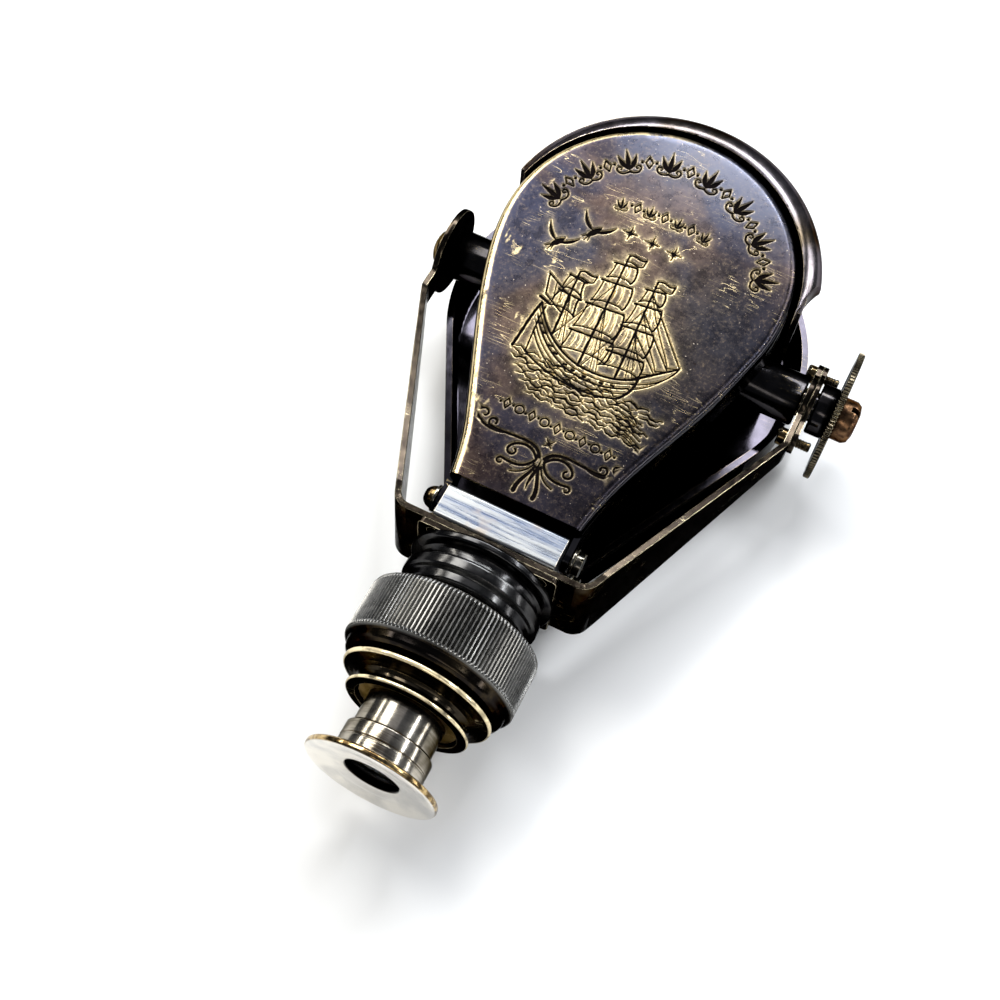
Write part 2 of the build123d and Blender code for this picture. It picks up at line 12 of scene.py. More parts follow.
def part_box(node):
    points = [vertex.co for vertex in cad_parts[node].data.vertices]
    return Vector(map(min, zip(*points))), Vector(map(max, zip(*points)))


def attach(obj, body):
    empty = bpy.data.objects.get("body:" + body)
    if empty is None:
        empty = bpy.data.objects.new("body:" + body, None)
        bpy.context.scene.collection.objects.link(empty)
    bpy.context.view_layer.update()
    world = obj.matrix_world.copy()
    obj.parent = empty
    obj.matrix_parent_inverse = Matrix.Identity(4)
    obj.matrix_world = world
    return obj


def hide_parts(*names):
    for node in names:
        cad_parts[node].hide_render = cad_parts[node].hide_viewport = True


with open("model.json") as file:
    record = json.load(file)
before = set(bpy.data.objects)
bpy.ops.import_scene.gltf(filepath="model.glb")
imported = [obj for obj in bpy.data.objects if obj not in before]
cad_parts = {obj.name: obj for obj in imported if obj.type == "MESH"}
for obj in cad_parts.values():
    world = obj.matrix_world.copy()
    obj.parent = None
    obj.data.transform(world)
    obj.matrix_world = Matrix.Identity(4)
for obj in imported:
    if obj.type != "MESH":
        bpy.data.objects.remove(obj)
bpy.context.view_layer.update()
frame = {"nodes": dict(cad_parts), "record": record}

# Sizes are in millimetres unless metres are named, and times MM they are in metres.
MM = 0.001

nodes = frame["nodes"]
eyecup_low, eyecup_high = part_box("eyecup")
AXIS_Z = (eyecup_low.z + eyecup_high.z) / 2 / MM  # optical axis above the floor

# ---- camera, lights and floor

CAMERA_PLACE = (39.4, -168.3, 247.9)
CAMERA_TURN = (29.02, -3.53, 26.29)  # degrees about X, Y and Z
CAMERA_LENS = 51.0
SENSOR = 36.0
LAMP_AIM = (0, -0.02, 0.02)  # metres
FLOOR_HALF = 0.7  # metres
COOL = (0.93, 0.96, 1)
# name, direction, then distance, width and height in metres, watts and colour
LAMPS = (
    ("far_box", (-0.12, 0.62, 0.775), 0.75, 0.50, 0.13, 5.0, COOL),
    ("top_glow", (-0.16, 0.26, 0.95), 0.80, 0.46, 0.42, 0.20, (0.96, 0.94, 1)),
    ("left_strip", (-0.52, 0.30, 0.80), 0.75, 0.28, 0.46, 4.6, (1, 0.99, 0.96)),
    ("left_box", (-0.84, 0.20, 0.50), 0.70, 0.06, 0.60, 1.6, (1, 0.97, 0.9)),
    ("right_strip", (0.656, 0.327, 0.681), 0.70, 0.04, 0.50, 1.9, COOL),
    ("right_low", (0.95, 0.10, 0.25), 0.70, 0.04, 0.60, 1.1, (1, 1, 1)),
    ("right_far", (0.55, 0.66, 0.50), 0.80, 0.30, 0.14, 2.0, COOL),
    ("near_fill", (0.30, -0.80, 0.55), 1.1, 0.9, 0.16, 1.6, (1, 0.96, 0.9)),
)


def add_object(name, data):
    """A new object in the scene."""
    made = bpy.data.objects.new(name, data)
    bpy.context.scene.collection.objects.link(made)
    return made


def build_camera():
    data = bpy.data.cameras.new("camera")
    data.lens = CAMERA_LENS
    data.sensor_width = SENSOR
    data.clip_start = 0.01
    data.clip_end = 20.0
    camera = add_object("camera", data)
    camera.location = Vector(CAMERA_PLACE) * MM
    camera.rotation_euler = [math.radians(angle) for angle in CAMERA_TURN]
    bpy.context.scene.camera = camera
    bpy.context.scene.view_settings.view_transform = "Standard"


def softbox(name, direction, distance, width, height, watts, colour):
    """An area light that faces the object from a direction; its height runs along the optical axis."""
    light = bpy.data.lights.new(name, "AREA")
    light.shape = "RECTANGLE"
    light.size = width
    light.size_y = height
    light.energy = watts
    light.color = colour
    lamp = add_object(name, light)
    away = Vector(direction).normalized()
    lamp.location = Vector(LAMP_AIM) + away * distance
    upright = (Vector((0, 1, 0)) - away * away.y).normalized()
    lamp.rotation_euler = Matrix((upright.cross(away), upright, away)).transposed().to_euler()


def build_stage():
    """A pale floor, a bright surround for the camera and a dim one for reflections, and the lamps."""
    world = bpy.data.worlds.new("studio")
    bpy.context.scene.world = world
    world.use_nodes = True
    tree = world.node_tree
    tree.nodes.clear()
    output = tree.nodes.new("ShaderNodeOutputWorld")
    chooser = tree.nodes.new("ShaderNodeMixShader")
    path = tree.nodes.new("ShaderNodeLightPath")
    dim = tree.nodes.new("ShaderNodeBackground")
    dim.inputs["Color"].default_value = (0.80, 0.86, 1.0, 1)
    dim.inputs["Strength"].default_value = 0.13
    bright = tree.nodes.new("ShaderNodeBackground")
    bright.inputs["Strength"].default_value = 1.0
    tree.links.new(path.outputs["Is Camera Ray"], chooser.inputs["Fac"])
    tree.links.new(dim.outputs[0], chooser.inputs[1])
    tree.links.new(bright.outputs[0], chooser.inputs[2])
    tree.links.new(chooser.outputs[0], output.inputs["Surface"])
    for lamp in LAMPS:
        softbox(*lamp)

    mesh = bpy.data.meshes.new("floor")
    bm = bmesh.new()
    bmesh.ops.create_grid(bm, x_segments=2, y_segments=2, size=FLOOR_HALF)
    bm.to_mesh(mesh)
    bm.free()
    floor_material = bpy.data.materials.new("floor")
    floor_material.use_nodes = True
    shader = floor_material.node_tree.nodes["Principled BSDF"]
    shader.inputs["Base Color"].default_value = (0.86, 0.86, 0.85, 1)
    shader.inputs["Roughness"].default_value = 0.9
    mesh.materials.append(floor_material)
    floor = add_object("floor", mesh)


# ---- material helpers

SCRATCH_WIDTH = 0.006  # of the noise's own range
SCRATCH_STRETCH = 0.12  # a scratch's width as a share of its length


class Shader:
    """A material under construction, with short calls for the nodes that the finishes share."""

    def __init__(self, name):
        self.material = bpy.data.materials.new(name)
        self.material.use_nodes = True
        self.tree = self.material.node_tree
        self.surface = self.tree.nodes["Principled BSDF"]
        self.place = self.node("TexCoord").outputs["Object"]

    def node(self, kind, feeds=None, **settings):
        """A new node with its settings, and what goes into its sockets."""
        made = self.tree.nodes.new("ShaderNode" + kind)
        for key, value in settings.items():
            setattr(made, key, value)
        for socket, value in (feeds or {}).items():
            self.feed(made.inputs[socket], value)
        return made

    def feed(self, socket, value):
        """Links a socket, or sets its value when it isn't a link."""
        if isinstance(value, bpy.types.NodeSocket):
            self.tree.links.new(value, socket)
        elif socket.type == "RGBA":
            socket.default_value = (*value, 1)
        else:
            socket.default_value = value

    def math(self, operation, first, *others):
        """A value joined with each of the others in turn, or with 0 when there are none."""
        for other in others or (0.0,):
            first = self.node("Math", {0: first, 1: other}, operation=operation).outputs[0]
        return first

    def times(self, *values):
        return self.math("MULTIPLY", *values)

    def most(self, *values):
        return self.math("MAXIMUM", *values)

    def split(self, vector):
        """A vector's X, Y and Z."""
        return self.node("SeparateXYZ", {0: vector}).outputs

    def noise(self, size, detail=3.0, roughness=0.55, distortion=0.0, turn=0.0):
        """Noise with grains of one size or one for each axis, turned about Z by an angle in radians."""
        size = size if hasattr(size, "__len__") else (size, size, size)
        scale = [1 / (length * MM) for length in size]
        grid = self.node("Mapping", {"Vector": self.place, "Scale": scale, "Rotation": (0.0, 0.0, turn)})
        feeds = {"Vector": grid.outputs[0], "Scale": 1.0, "Detail": detail}
        feeds.update({"Roughness": roughness, "Distortion": distortion})
        return self.node("TexNoise", feeds).outputs["Fac"]

    def step(self, value, low, high, to_low=0.0, to_high=1.0):
        """The value from low to high, spread over a new range and held at its ends."""
        feeds = {"Value": value, "From Min": low, "From Max": high, "To Min": to_low, "To Max": to_high}
        return self.node("MapRange", feeds, interpolation_type="SMOOTHSTEP").outputs[0]

    def blend(self, share, a, b):
        """Colour a where share is 0 and colour b where it is 1."""
        return self.node("Mix", {"Factor": share, 6: a, 7: b}, data_type="RGBA").outputs[2]

    def edges(self, radius):
        """1 on convex and concave edges within a radius, 0 on open surfaces."""
        soft = self.node("Bevel", {"Radius": radius * MM}, samples=6).outputs[0]
        true = self.node("NewGeometry").outputs["Normal"]
        dot = self.node("VectorMath", {0: soft, 1: true}, operation="DOT_PRODUCT").outputs["Value"]
        return self.step(self.math("SUBTRACT", 1.0, dot), 0.02, 0.2)

    def scratches(self, size, turn):
        """Thin stray scratches: the zero line of a stretched noise, broken up by another noise."""
        narrow = size * SCRATCH_STRETCH
        field = self.noise((size, narrow, narrow), 1.0, 0.5, turn=turn)
        distance = self.math("ABSOLUTE", self.math("SUBTRACT", field, 0.5))
        line = self.step(distance, 0.0, SCRATCH_WIDTH, 1.0, 0.0)
        return self.times(line, self.step(self.noise(size * 0.9, 1.0), 0.56, 0.64))

    def off_axis(self):
        """Distance from the optical axis, in metres."""
        axis = {0: self.place, 1: (1, 0, 1), 2: (0, 0, -AXIS_Z * MM)}
        away = self.node("VectorMath", axis, operation="MULTIPLY_ADD").outputs[0]
        return self.node("VectorMath", {0: away}, operation="LENGTH").outputs["Value"]

    def finish(self, height, depth, **inputs):
        """The material, bumped by a height field to a depth, with what goes into the surface."""
        bump = self.node("Bump", {"Height": height, "Distance": depth * MM})
        self.feed(self.surface.inputs["Normal"], bump.outputs[0])
        for name, value in inputs.items():
            self.feed(self.surface.inputs[name.replace("_", " ")], value)
        return self.material


GOLD = (0.78, 0.58, 0.27)
PALE_GOLD = (0.93, 0.82, 0.55)
# near black: dirt in the engraved grooves, and painted shade in the eyecup's hole
SOOT_AND_SHADE = (0.004, 0.003, 0.003)


def cover_brass():
    """Engraved brass under a mauve-brown patina, with a painted reflection at its wide end and painted shade
    down its right side and towards the hinge, rubbed to gold at its left edge and beside the cuts.
    """
    s = Shader("cover_brass")
    layers = ("groove", "halo", "side")
    groove, halo, side = (s.node("Attribute", attribute_name=layer).outputs["Fac"] for layer in layers)
    # across from the middle and along from the wide end, both in metres
    place = s.split(s.place)
    sideways = place["X"]
    to_end = s.math("SUBTRACT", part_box("top_cover")[1].y, place["Y"])

    # patina: warm and cool clouds
    brown = s.blend(s.step(s.noise(11, 5, 0.6), 0.38, 0.60), (0.018, 0.013, 0.014), (0.058, 0.040, 0.035))
    patina_and_painted_light = s.blend(s.step(s.noise(24, 3, 0.5, 0.6), 0.42, 0.58), brown, (0.023, 0.024, 0.038))
    # painted reflection: silver at the wide end; painted shade: dark down the right side and towards the
    # hinge
    wide_end_painted_reflection = s.times(s.step(to_end, 0.002, 0.026, 1.0, 0.0), s.step(sideways, -0.022, 0.0), 0.55)
    right_side_painted_shade = s.times(s.step(sideways, 0.000, 0.018), s.step(to_end, 0.012, 0.034), 0.85)
    hinge_end = s.step(to_end, 0.055, 0.085, 0.0, 0.4)
    # fine grain, a few dark spots and pale specks
    grain = s.times(s.step(s.noise(0.75, 7, 0.85), 0.50, 0.70), 0.36)
    spots = s.times(s.step(s.noise(1.3, 2), 0.72, 0.76), 0.75)
    specks = s.times(s.step(s.noise(0.42, 1), 0.74, 0.79), 0.85)
    # the painted reflection and painted shade are mixed into the patina along with the real grain, spots and
    # specks
    for share, tint in (
        (wide_end_painted_reflection, (0.125, 0.13, 0.16)),
        (right_side_painted_shade, (0.016, 0.016, 0.022)),
        (hinge_end, (0.022, 0.015, 0.014)),
        (grain, (0.23, 0.17, 0.11)),
        (spots, (0.015, 0.010, 0.010)),
        (specks, (0.45, 0.38, 0.30)),
    ):
        patina_and_painted_light = s.blend(share, patina_and_painted_light, tint)

    # bare brass: beside the cuts, in rubbed patches, along the left edge and in thin scratches
    rub = s.times(halo, s.step(s.noise(7, 3), 0.30, 0.52, 0.35, 1.0))
    rub = s.times(rub, s.step(s.noise(0.4, 4, 0.7), 0.30, 0.52))
    patch = s.times(
        s.step(s.noise((4, 9, 4), 3), 0.62, 0.68), s.step(s.noise(0.8, 4, 0.7), 0.35, 0.6),
        s.step(sideways, -0.010, -0.016), s.step(to_end, 0.018, 0.026), 0.8,
    )
    edge = s.times(
        s.step(side, 0.01, 0.10), s.step(side, 0.45, 1.1, 1.0, 0.0), s.step(sideways, 0.004, -0.012),
        s.step(s.noise(4, 5, 0.7), 0.30, 0.48),
    )
    stray = s.most(s.scratches(12.0, 0.5), s.scratches(8.0, 2.0))
    gold = s.most(rub, edge, s.times(stray, 0.6), patch)
    colour = s.blend(s.step(side, 0.15, 0.9), patina_and_painted_light, (0.030, 0.030, 0.034))
    colour = s.blend(gold, colour, (0.78, 0.62, 0.34))
    colour = s.blend(s.step(groove, 0.35, 0.85), colour, SOOT_AND_SHADE)

    rough = s.math("ADD", s.step(s.noise(3, 5, 0.7), 0.3, 0.7, 0.24, 0.38), s.times(groove, 0.35))
    rough = s.math("SUBTRACT", rough, s.step(side, 0.1, 0.8, 0.0, 0.18))
    height = s.math("ADD", s.times(s.noise(0.6, 4, 0.7), 0.35), s.times(stray, -0.5))
    return s.finish(
        height, 0.008, Base_Color=colour, Metallic=1.0, Specular_Tint=(0.3, 0.3, 0.3), Roughness=rough
    )


def aged_metal(
    name, dark, light, worn, wear, rough, grain, lines=None, edge=0.18, grazing=0.35, depth=0.004,
    streak=0.45, dull=0.5, plain=None, crests=(),
):
    """Blackened or bronzed metal: mottled, rubbed along its edges, with fine scratches.

    lines gives the size of brush or turning marks along each axis, and edge the width of the rubbed
    edges. grazing is how much the metal still reflects at a grazing angle, and dull how far its
    rubbed edges scatter light instead of mirroring it. Below the place that plain gives along an
    axis, the metal is darker and smoother, with a warm tint. Each of crests, (from, to, radius), is
    a stretch along Y that is rubbed outside that radius.
    """
    s = Shader(name)
    tone = s.blend(s.step(s.noise(grain, 4), 0.34, 0.66), dark, light)
    rubbed = s.times(s.edges(edge), s.step(s.noise(2.2, 4, 0.6), 0.34, 0.56, 0.25 * wear, wear))
    gold = s.most(rubbed, s.times(s.scratches(7.0, 1.1), 0.35 * wear))
    rough_map = s.step(s.noise(1.7, 5, 0.65), 0.3, 0.7, *rough)
    height = s.times(s.noise(0.5, 3, 0.7), 0.3)
    if lines:
        marks = s.noise(lines, 4, 0.75)
        tone = s.blend(s.step(marks, 0.50, 0.72, 0.0, streak), tone, light)
        tone = s.blend(s.step(marks, 0.28, 0.48, streak, 0.0), tone, dark)
        height = s.math("ADD", height, marks)
    place = s.split(s.place)
    for low, high, radius in crests:
        crest = s.times(
            s.step(s.off_axis(), (radius - 0.1) * MM, (radius + 0.1) * MM),
            s.step(place["Y"], (low - 0.05) * MM, (low + 0.05) * MM),
            s.step(place["Y"], (high - 0.05) * MM, (high + 0.05) * MM, 1.0, 0.0),
            s.step(s.noise(3.0, 4, 0.6), 0.34, 0.54, 0.35, 1.0),
        )
        rubbed = s.most(rubbed, crest)
        gold = s.most(gold, crest)
    colour = s.blend(gold, tone, worn)
    if plain:
        axis, limit = plain
        below = s.step(place[axis], (limit - 0.2) * MM, (limit + 0.1) * MM, 1.0, 0.0)
        warm = s.blend(s.step(s.noise(5, 4), 0.42, 0.66), (0.013, 0.011, 0.010), (0.045, 0.034, 0.020))
        colour = s.blend(below, colour, warm)
        rough_map = s.math("SUBTRACT", rough_map, s.times(below, 0.13))
    metallic = s.math("SUBTRACT", 1.0, s.times(rubbed, dull))
    tint = (grazing, grazing, grazing)
    return s.finish(
        height, depth, Base_Color=colour, Metallic=metallic, Specular_Tint=tint, Roughness=rough_map
    )


def eyecup_brass():
    """Pale turned brass on the cup's open face, golden brown on its rim and back, with painted shade making
    it near black in its hole.
    """
    s = Shader("pale_brass")
    normal = s.split(s.node("TexCoord").outputs["Normal"])
    face = s.step(s.times(normal["Y"], -1.0), 0.55, 0.95)
    marks = s.noise(TURNED_Y, 4, 0.7)
    cloud = s.step(s.noise(6, 4), 0.36, 0.64)
    pale = s.blend(cloud, (0.62, 0.60, 0.56), (0.84, 0.80, 0.72))
    pale = s.blend(s.step(marks, 0.5, 0.7, 0.0, 0.35), pale, (0.90, 0.88, 0.84))
    brown = s.blend(s.step(s.noise(1.6, 5, 0.7), 0.40, 0.60), (0.10, 0.062, 0.024), (0.50, 0.36, 0.17))
    colour = s.blend(face, brown, pale)
    tarnish = s.times(s.edges(0.7), s.step(s.noise(3, 4), 0.34, 0.56, 0.4, 1.0))
    colour = s.blend(tarnish, colour, (0.36, 0.25, 0.11))
    # painted shade: the hole and a thin ring round it are near black
    hole = s.step(s.off_axis(), (EYE_HOLE + 0.05) * MM, (EYE_HOLE + 0.35) * MM, 1.0, 0.0)
    colour = s.blend(hole, colour, SOOT_AND_SHADE)
    rough = s.step(s.noise(2.5, 4, 0.6), 0.3, 0.7, 0.12, 0.24)
    height = s.math("ADD", marks, s.times(s.noise(0.5, 3, 0.7), 0.3))
    return s.finish(height, 0.002, Base_Color=colour, Metallic=1.0, Roughness=rough)


def brushed_block():
    """Bare metal brushed from side to side, silver with blue-grey streaks and tarnished corners."""
    s = Shader("brushed_block")
    broad = s.step(s.noise((26, 1.6, 1.6), 3, 0.6), 0.36, 0.64)
    fine = s.step(s.noise((14, 0.5, 0.5), 4, 0.75), 0.36, 0.62)
    colour = s.blend(broad, (0.060, 0.082, 0.135), (0.195, 0.205, 0.215))
    colour = s.blend(s.times(fine, 0.35), colour, (0.34, 0.325, 0.28))
    tarnish = s.times(s.step(s.noise(7, 3), 0.56, 0.70), 0.5)
    colour = s.blend(tarnish, colour, (0.22, 0.17, 0.12))
    colour = s.blend(s.edges(0.22), colour, (0.85, 0.76, 0.58))
    rough = s.math("ADD", s.step(fine, 0.0, 1.0, 0.26, 0.36), s.times(tarnish, 0.15))
    return s.finish(fine, 0.004, Base_Color=colour, Metallic=1.0, Roughness=rough)


def lens_glass():
    """Coated glass with a faint blue-violet sheen."""
    s = Shader("lens_glass")
    film = s.blend(s.step(s.noise(12, 2), 0.4, 0.6), (0.80, 0.88, 0.95), (0.88, 0.84, 0.95))
    s.feed(s.surface.inputs["Base Color"], film)
    s.feed(s.surface.inputs["Roughness"], s.step(s.noise(5, 3), 0.3, 0.7, 0.01, 0.05))
    s.surface.inputs["IOR"].default_value = 1.52
    s.surface.inputs["Transmission Weight"].default_value = 1.0
    return s.material


EYE_HOLE = 5.1  # radius
KNURL_FROM, KNURL_TO = 2.7, 13.0  # along the focusing ring, from its near end
TURNED_Y = (14.0, 0.22, 14.0)  # turning marks round the optical axis
TURNED_X = (0.22, 14.0, 14.0)  # turning marks round the trunnion axis
GUARD_LIP = 8.5  # height of the guard's lip, above its dark wall


def build_materials():
    """The finishes: one for each of the record's slots, and the variants."""
    cap_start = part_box("focus_cap")[0].y / MM
    made = {
        "cover_brass": cover_brass(), "pale_brass": eyecup_brass(),
        "brushed_block": brushed_block(), "lens_glass": lens_glass(),
    }

    def add(name, dark, light, worn, wear, rough, grain, **options):
        made[name] = aged_metal(name, dark, light, worn, wear, rough, grain, **options)

    add(
        "black_lacquer", (0.018, 0.017, 0.020), (0.032, 0.029, 0.036), (0.34, 0.26, 0.16),
        0.5, (0.07, 0.13), 9.0, grazing=0.12,
    )
    add(
        "barrel_black", (0.018, 0.017, 0.017), (0.032, 0.030, 0.032), GOLD,
        0.5, (0.10, 0.18), 4.0, lines=TURNED_X, grazing=0.15,
    )
    add(
        "dark_bronze", (0.014, 0.011, 0.009), (0.036, 0.028, 0.020), (0.88, 0.76, 0.50),
        1.0, (0.12, 0.26), 5.0, grazing=0.15, edge=0.28, dull=0.6,
    )
    add(
        "knurl_black", (0.085, 0.084, 0.081), (0.130, 0.128, 0.122), (0.50, 0.48, 0.43),
        0.9, (0.24, 0.34), 9.0, grazing=0.2, edge=0.12,
        plain=("Y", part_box("focus_ring")[0].y / MM + KNURL_FROM - 0.2),
    )
    add(
        "collar_gloss", (0.026, 0.026, 0.027), (0.060, 0.059, 0.058), (0.55, 0.47, 0.32),
        0.5, (0.15, 0.23), 6.0, lines=TURNED_Y, grazing=0.15, depth=0.0015,
    )
    add(
        "guard_lacquer", (0.050, 0.038, 0.024), (0.135, 0.122, 0.135), (0.66, 0.52, 0.30),
        1.0, (0.17, 0.26), 15.0, grazing=0.3,
        plain=("Z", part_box("front_guard")[1].z / MM - GUARD_LIP),
    )
    add(
        "polished_brass", (0.080, 0.067, 0.045), (0.44, 0.405, 0.345), (0.90, 0.82, 0.62),
        1.0, (0.14, 0.20), 9.0, lines=TURNED_Y, edge=0.2, depth=0.0015, grazing=0.3, streak=0.7,
    )
    add(
        "cap_brass", (0.018, 0.015, 0.011), (0.046, 0.037, 0.025), (0.95, 0.80, 0.50),
        1.0, (0.12, 0.20), 7.0, lines=TURNED_Y, edge=0.3, depth=0.0015, grazing=0.3,
        crests=[(cap_start + 0.1, cap_start + 0.95, 11.35), (cap_start + 3.7, cap_start + 4.5, 13.95)],
    )
    add("inner_brass", (0.10, 0.07, 0.03), (0.22, 0.155, 0.075), GOLD, 0.6, (0.25, 0.4), 3.0, lines=TURNED_Y)
    add("screw_brass", (0.045, 0.032, 0.015), (0.15, 0.105, 0.05), PALE_GOLD, 1.0, (0.12, 0.24), 1.5)
    add("screw_steel", (0.06, 0.055, 0.045), (0.20, 0.19, 0.165), PALE_GOLD, 1.0, (0.14, 0.26), 1.5)
    add("copper_screw", (0.040, 0.021, 0.012), (0.15, 0.082, 0.042), (0.58, 0.38, 0.22), 1.0, (0.2, 0.4), 1.4)
    return made


# Pieces and nodes whose finish is a variant of their slot's own.
VARIANTS = {"collar_turned": "collar_gloss", "front_guard": "guard_lacquer", "focus_cap_turned": "cap_brass"}


# ---- mesh helpers


def make_piece(name, bm, material_slot, body, replaced, sharp=32.0):
    """Turns a bmesh into a finished piece that rides a body and stands for CAD nodes."""
    bmesh.ops.recalc_face_normals(bm, faces=bm.faces)
    mesh = bpy.data.meshes.new(name)
    bm.to_mesh(mesh)
    bm.free()
    carried = mesh.attributes.get("custom_normal")  # left from the CAD mesh, wrong for the new one
    if carried:
        mesh.attributes.remove(carried)
    mesh.shade_smooth()
    mesh.set_sharp_from_angle(angle=math.radians(sharp))
    piece = add_object(name, mesh)
    mesh.materials.append(materials[VARIANTS.get(name, material_slot)])
    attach(piece, body)
    if replaced:
        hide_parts(*replaced)
    return piece


def rounded(outline, size, steps=4):
    """A closed outline of (along, radius) points with its corners rounded off, but not on the axis."""
    result = []
    for i, corner in enumerate(outline):
        here = Vector(corner)
        to_last = Vector(outline[i - 1]) - here
        to_next = Vector(outline[(i + 1) % len(outline)]) - here
        if here.y < 1e-6:
            result.append(here)
            continue
        cut = min(size, 0.45 * to_last.length, 0.45 * to_next.length)
        start = here + to_last.normalized() * cut
        end = here + to_next.normalized() * cut
        for k in range(steps + 1):
            t = k / steps
            result.append(start * (1 - t) ** 2 + here * 2 * t * (1 - t) + end * t * t)
    return result


def lathe(bm, outline, axis, start, segments=256, aside=0.0, shape=None):
    """Adds a closed solid turned about a line along X or Y, at the optical axis's height.

    outline holds (along, radius) points, start is where along is 0, and aside is how far the line
    stands to the side of that axis. shape(along, angle, radius) may change a radius.
    """
    rings = []
    for along, radius in outline:
        ring = []
        for k in range(segments if radius > 1e-6 else 1):
            angle = 2 * math.pi * k / segments
            r = shape(along, angle, radius) if shape else radius
            across = aside + r * math.sin(angle)
            up = AXIS_Z + r * math.cos(angle)
            place = (across, start + along, up) if axis == "Y" else (start + along, across, up)
            ring.append(bm.verts.new(Vector(place) * MM))
        rings.append(ring)
    for i, ring in enumerate(rings):
        other = rings[(i + 1) % len(rings)]
        if len(ring) == 1 and len(other) == 1:
            continue
        for k in range(segments):
            after = (k + 1) % segments
            corners = [ring[k % len(ring)], ring[after % len(ring)]]
            corners += [other[after % len(other)], other[k % len(other)]]
            bm.faces.new(list(dict.fromkeys(corners)))


def turned_piece(name, node, outline, material_slot, body, axis="Y", round_off=0.12, **options):
    """A single turned piece in the place of one CAD node, whose low end is where the outline is 0."""
    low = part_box(node)[0]
    start = (low.y if axis == "Y" else low.x) / MM
    bm = bmesh.new()
    lathe(bm, rounded(outline, round_off), axis, start, **options)
    return make_piece(name, bm, material_slot, body, [node])


# ---- eyepiece and focusing ring

KNURL_RIDGES = 128
KNURL_DEPTH = 0.55
GRIP_FROM = 15.0  # radius outside which the focusing ring is knurled


def knurl(along, angle, radius):
    """Straight V ridges round the grip, run out at both ends."""
    run_out = min(1.0, max(0.0, (along - KNURL_FROM) / 0.5), max(0.0, (KNURL_TO - along) / 0.5))
    if radius < GRIP_FROM:
        return radius
    valley = abs((angle * KNURL_RIDGES / (2 * math.pi)) % 1.0 - 0.5) * 2
    return radius - KNURL_DEPTH * run_out * max(0.0, valley - 0.25) / 0.75


def build_eyepiece():
    turned_piece(
        "eyecup_turned", "eyecup",
        [
            (1.0, EYE_HOLE), (0.72, 5.9), (0.62, 7.0), (0.35, 9.4), (0.0, 11.7), (0.12, 12.25), (0.45, 12.5),
            (1.1, 12.5), (1.4, 12.1), (1.55, 11.4), (1.8, 10.7), (2.05, 10.2), (2.4, 9.0), (2.4, EYE_HOLE),
        ],
        "pale_brass", "eyepiece", round_off=0.25,
    )
    turned_piece(
        "eye_sleeve_turned", "eye_sleeve",
        [
            (0.0, 7.4), (0.0, 8.2), (1.9, 8.2), (2.0, 8.0), (2.25, 8.0), (2.35, 8.2), (4.7, 8.2), (5.1, 7.9),
            (5.1, 7.4),
        ],
        "polished_brass", "eyepiece",
    )
    turned_piece(
        "draw_tube_turned", "draw_tube",
        [(0.0, 6.4), (0.0, 7.4), (34.3, 7.4), (34.6, 7.2), (34.6, 6.4)],
        "polished_brass", "eyepiece",
    )


def build_focus_drive():
    turned_piece(
        "focus_cap_turned", "focus_cap",
        [
            (0.0, 9.8), (0.0, 11.5), (0.25, 11.8), (0.6, 11.8), (0.85, 11.3), (1.2, 10.8), (1.7, 10.45),
            (2.3, 10.5), (2.9, 11.0), (3.3, 11.9), (3.6, 13.2), (3.75, 14.1), (4.05, 14.3), (4.4, 14.3),
            (4.65, 14.0), (4.8, 13.3), (5.4, 13.1), (5.4, 8.65), (2.5, 8.65), (2.5, 9.8),
        ],
        "polished_brass", "focus_drive",
    )
    grip_rows = [Vector((KNURL_FROM + 0.25 * k, 16.4)) for k in range(1, 40)]
    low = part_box("focus_ring")[0].y / MM
    near = [(0.0, 8.65), (0.0, 13.0), (0.25, 14.3), (0.7, 15.0), (1.1, 15.25), (2.2, 15.4), (2.45, 15.9)]
    near += [(2.7, 16.3)]
    far = [(13.0, 16.3), (13.3, 15.7), (13.5, 13.6), (13.8, 12.4), (14.2, 11.9), (14.8, 11.75), (14.8, 8.65)]
    groove = [(12.4, 8.7), (12.4, 10.8), (4.4, 10.8), (4.4, 8.7)]
    bm = bmesh.new()
    outline = rounded(near, 0.12)[3:] + grip_rows + rounded(far, 0.12)
    outline += [Vector(p) for p in groove]
    lathe(bm, outline, "Y", low, segments=KNURL_RIDGES * 8, shape=knurl)
    make_piece("focus_ring_knurled", bm, "knurl_black", "focus_drive", ["focus_ring"], sharp=50.0)


# ---- collar, thumbwheel and bearing screws

WHEEL_TEETH = 110
TEETH_FROM = 12.6  # radius outside which the thumbwheel has teeth
TOOTH_DEPTH = 0.3
THREAD_PITCH = 0.55
THREAD_DEPTH = 0.2
THREAD_STEP = 0.11  # between a thread's rings
SLOT_HALF = 0.25


def build_collar():
    turned_piece(
        "collar_turned", "collar",
        [
            (0.0, 8.62), (0.0, 11.2), (0.25, 11.6), (0.6, 12.2), (0.9, 12.3), (2.1, 12.3), (2.35, 12.5),
            (2.6, 13.0), (2.95, 13.35), (3.5, 13.4), (4.5, 13.4), (4.95, 13.3), (5.15, 12.9), (5.25, 12.0),
            (5.6, 11.75),
            (6.4, 11.7), (6.9, 11.8), (7.3, 12.3), (7.55, 13.3), (7.75, 13.9), (8.05, 14.1), (8.75, 14.1),
            (9.0, 14.0), (9.15, 13.7), (9.3, 13.6), (9.3, 8.62),
        ],
        "knurl_black", "frame", round_off=0.1,
    )


def serration(along, angle, radius):
    """Fine teeth round the thumbwheel's rim."""
    if radius < TEETH_FROM:
        return radius
    tooth = abs((angle * WHEEL_TEETH / (2 * math.pi)) % 1.0 - 0.5) * 2
    return radius - TOOTH_DEPTH * max(0.0, tooth - 0.3) / 0.7


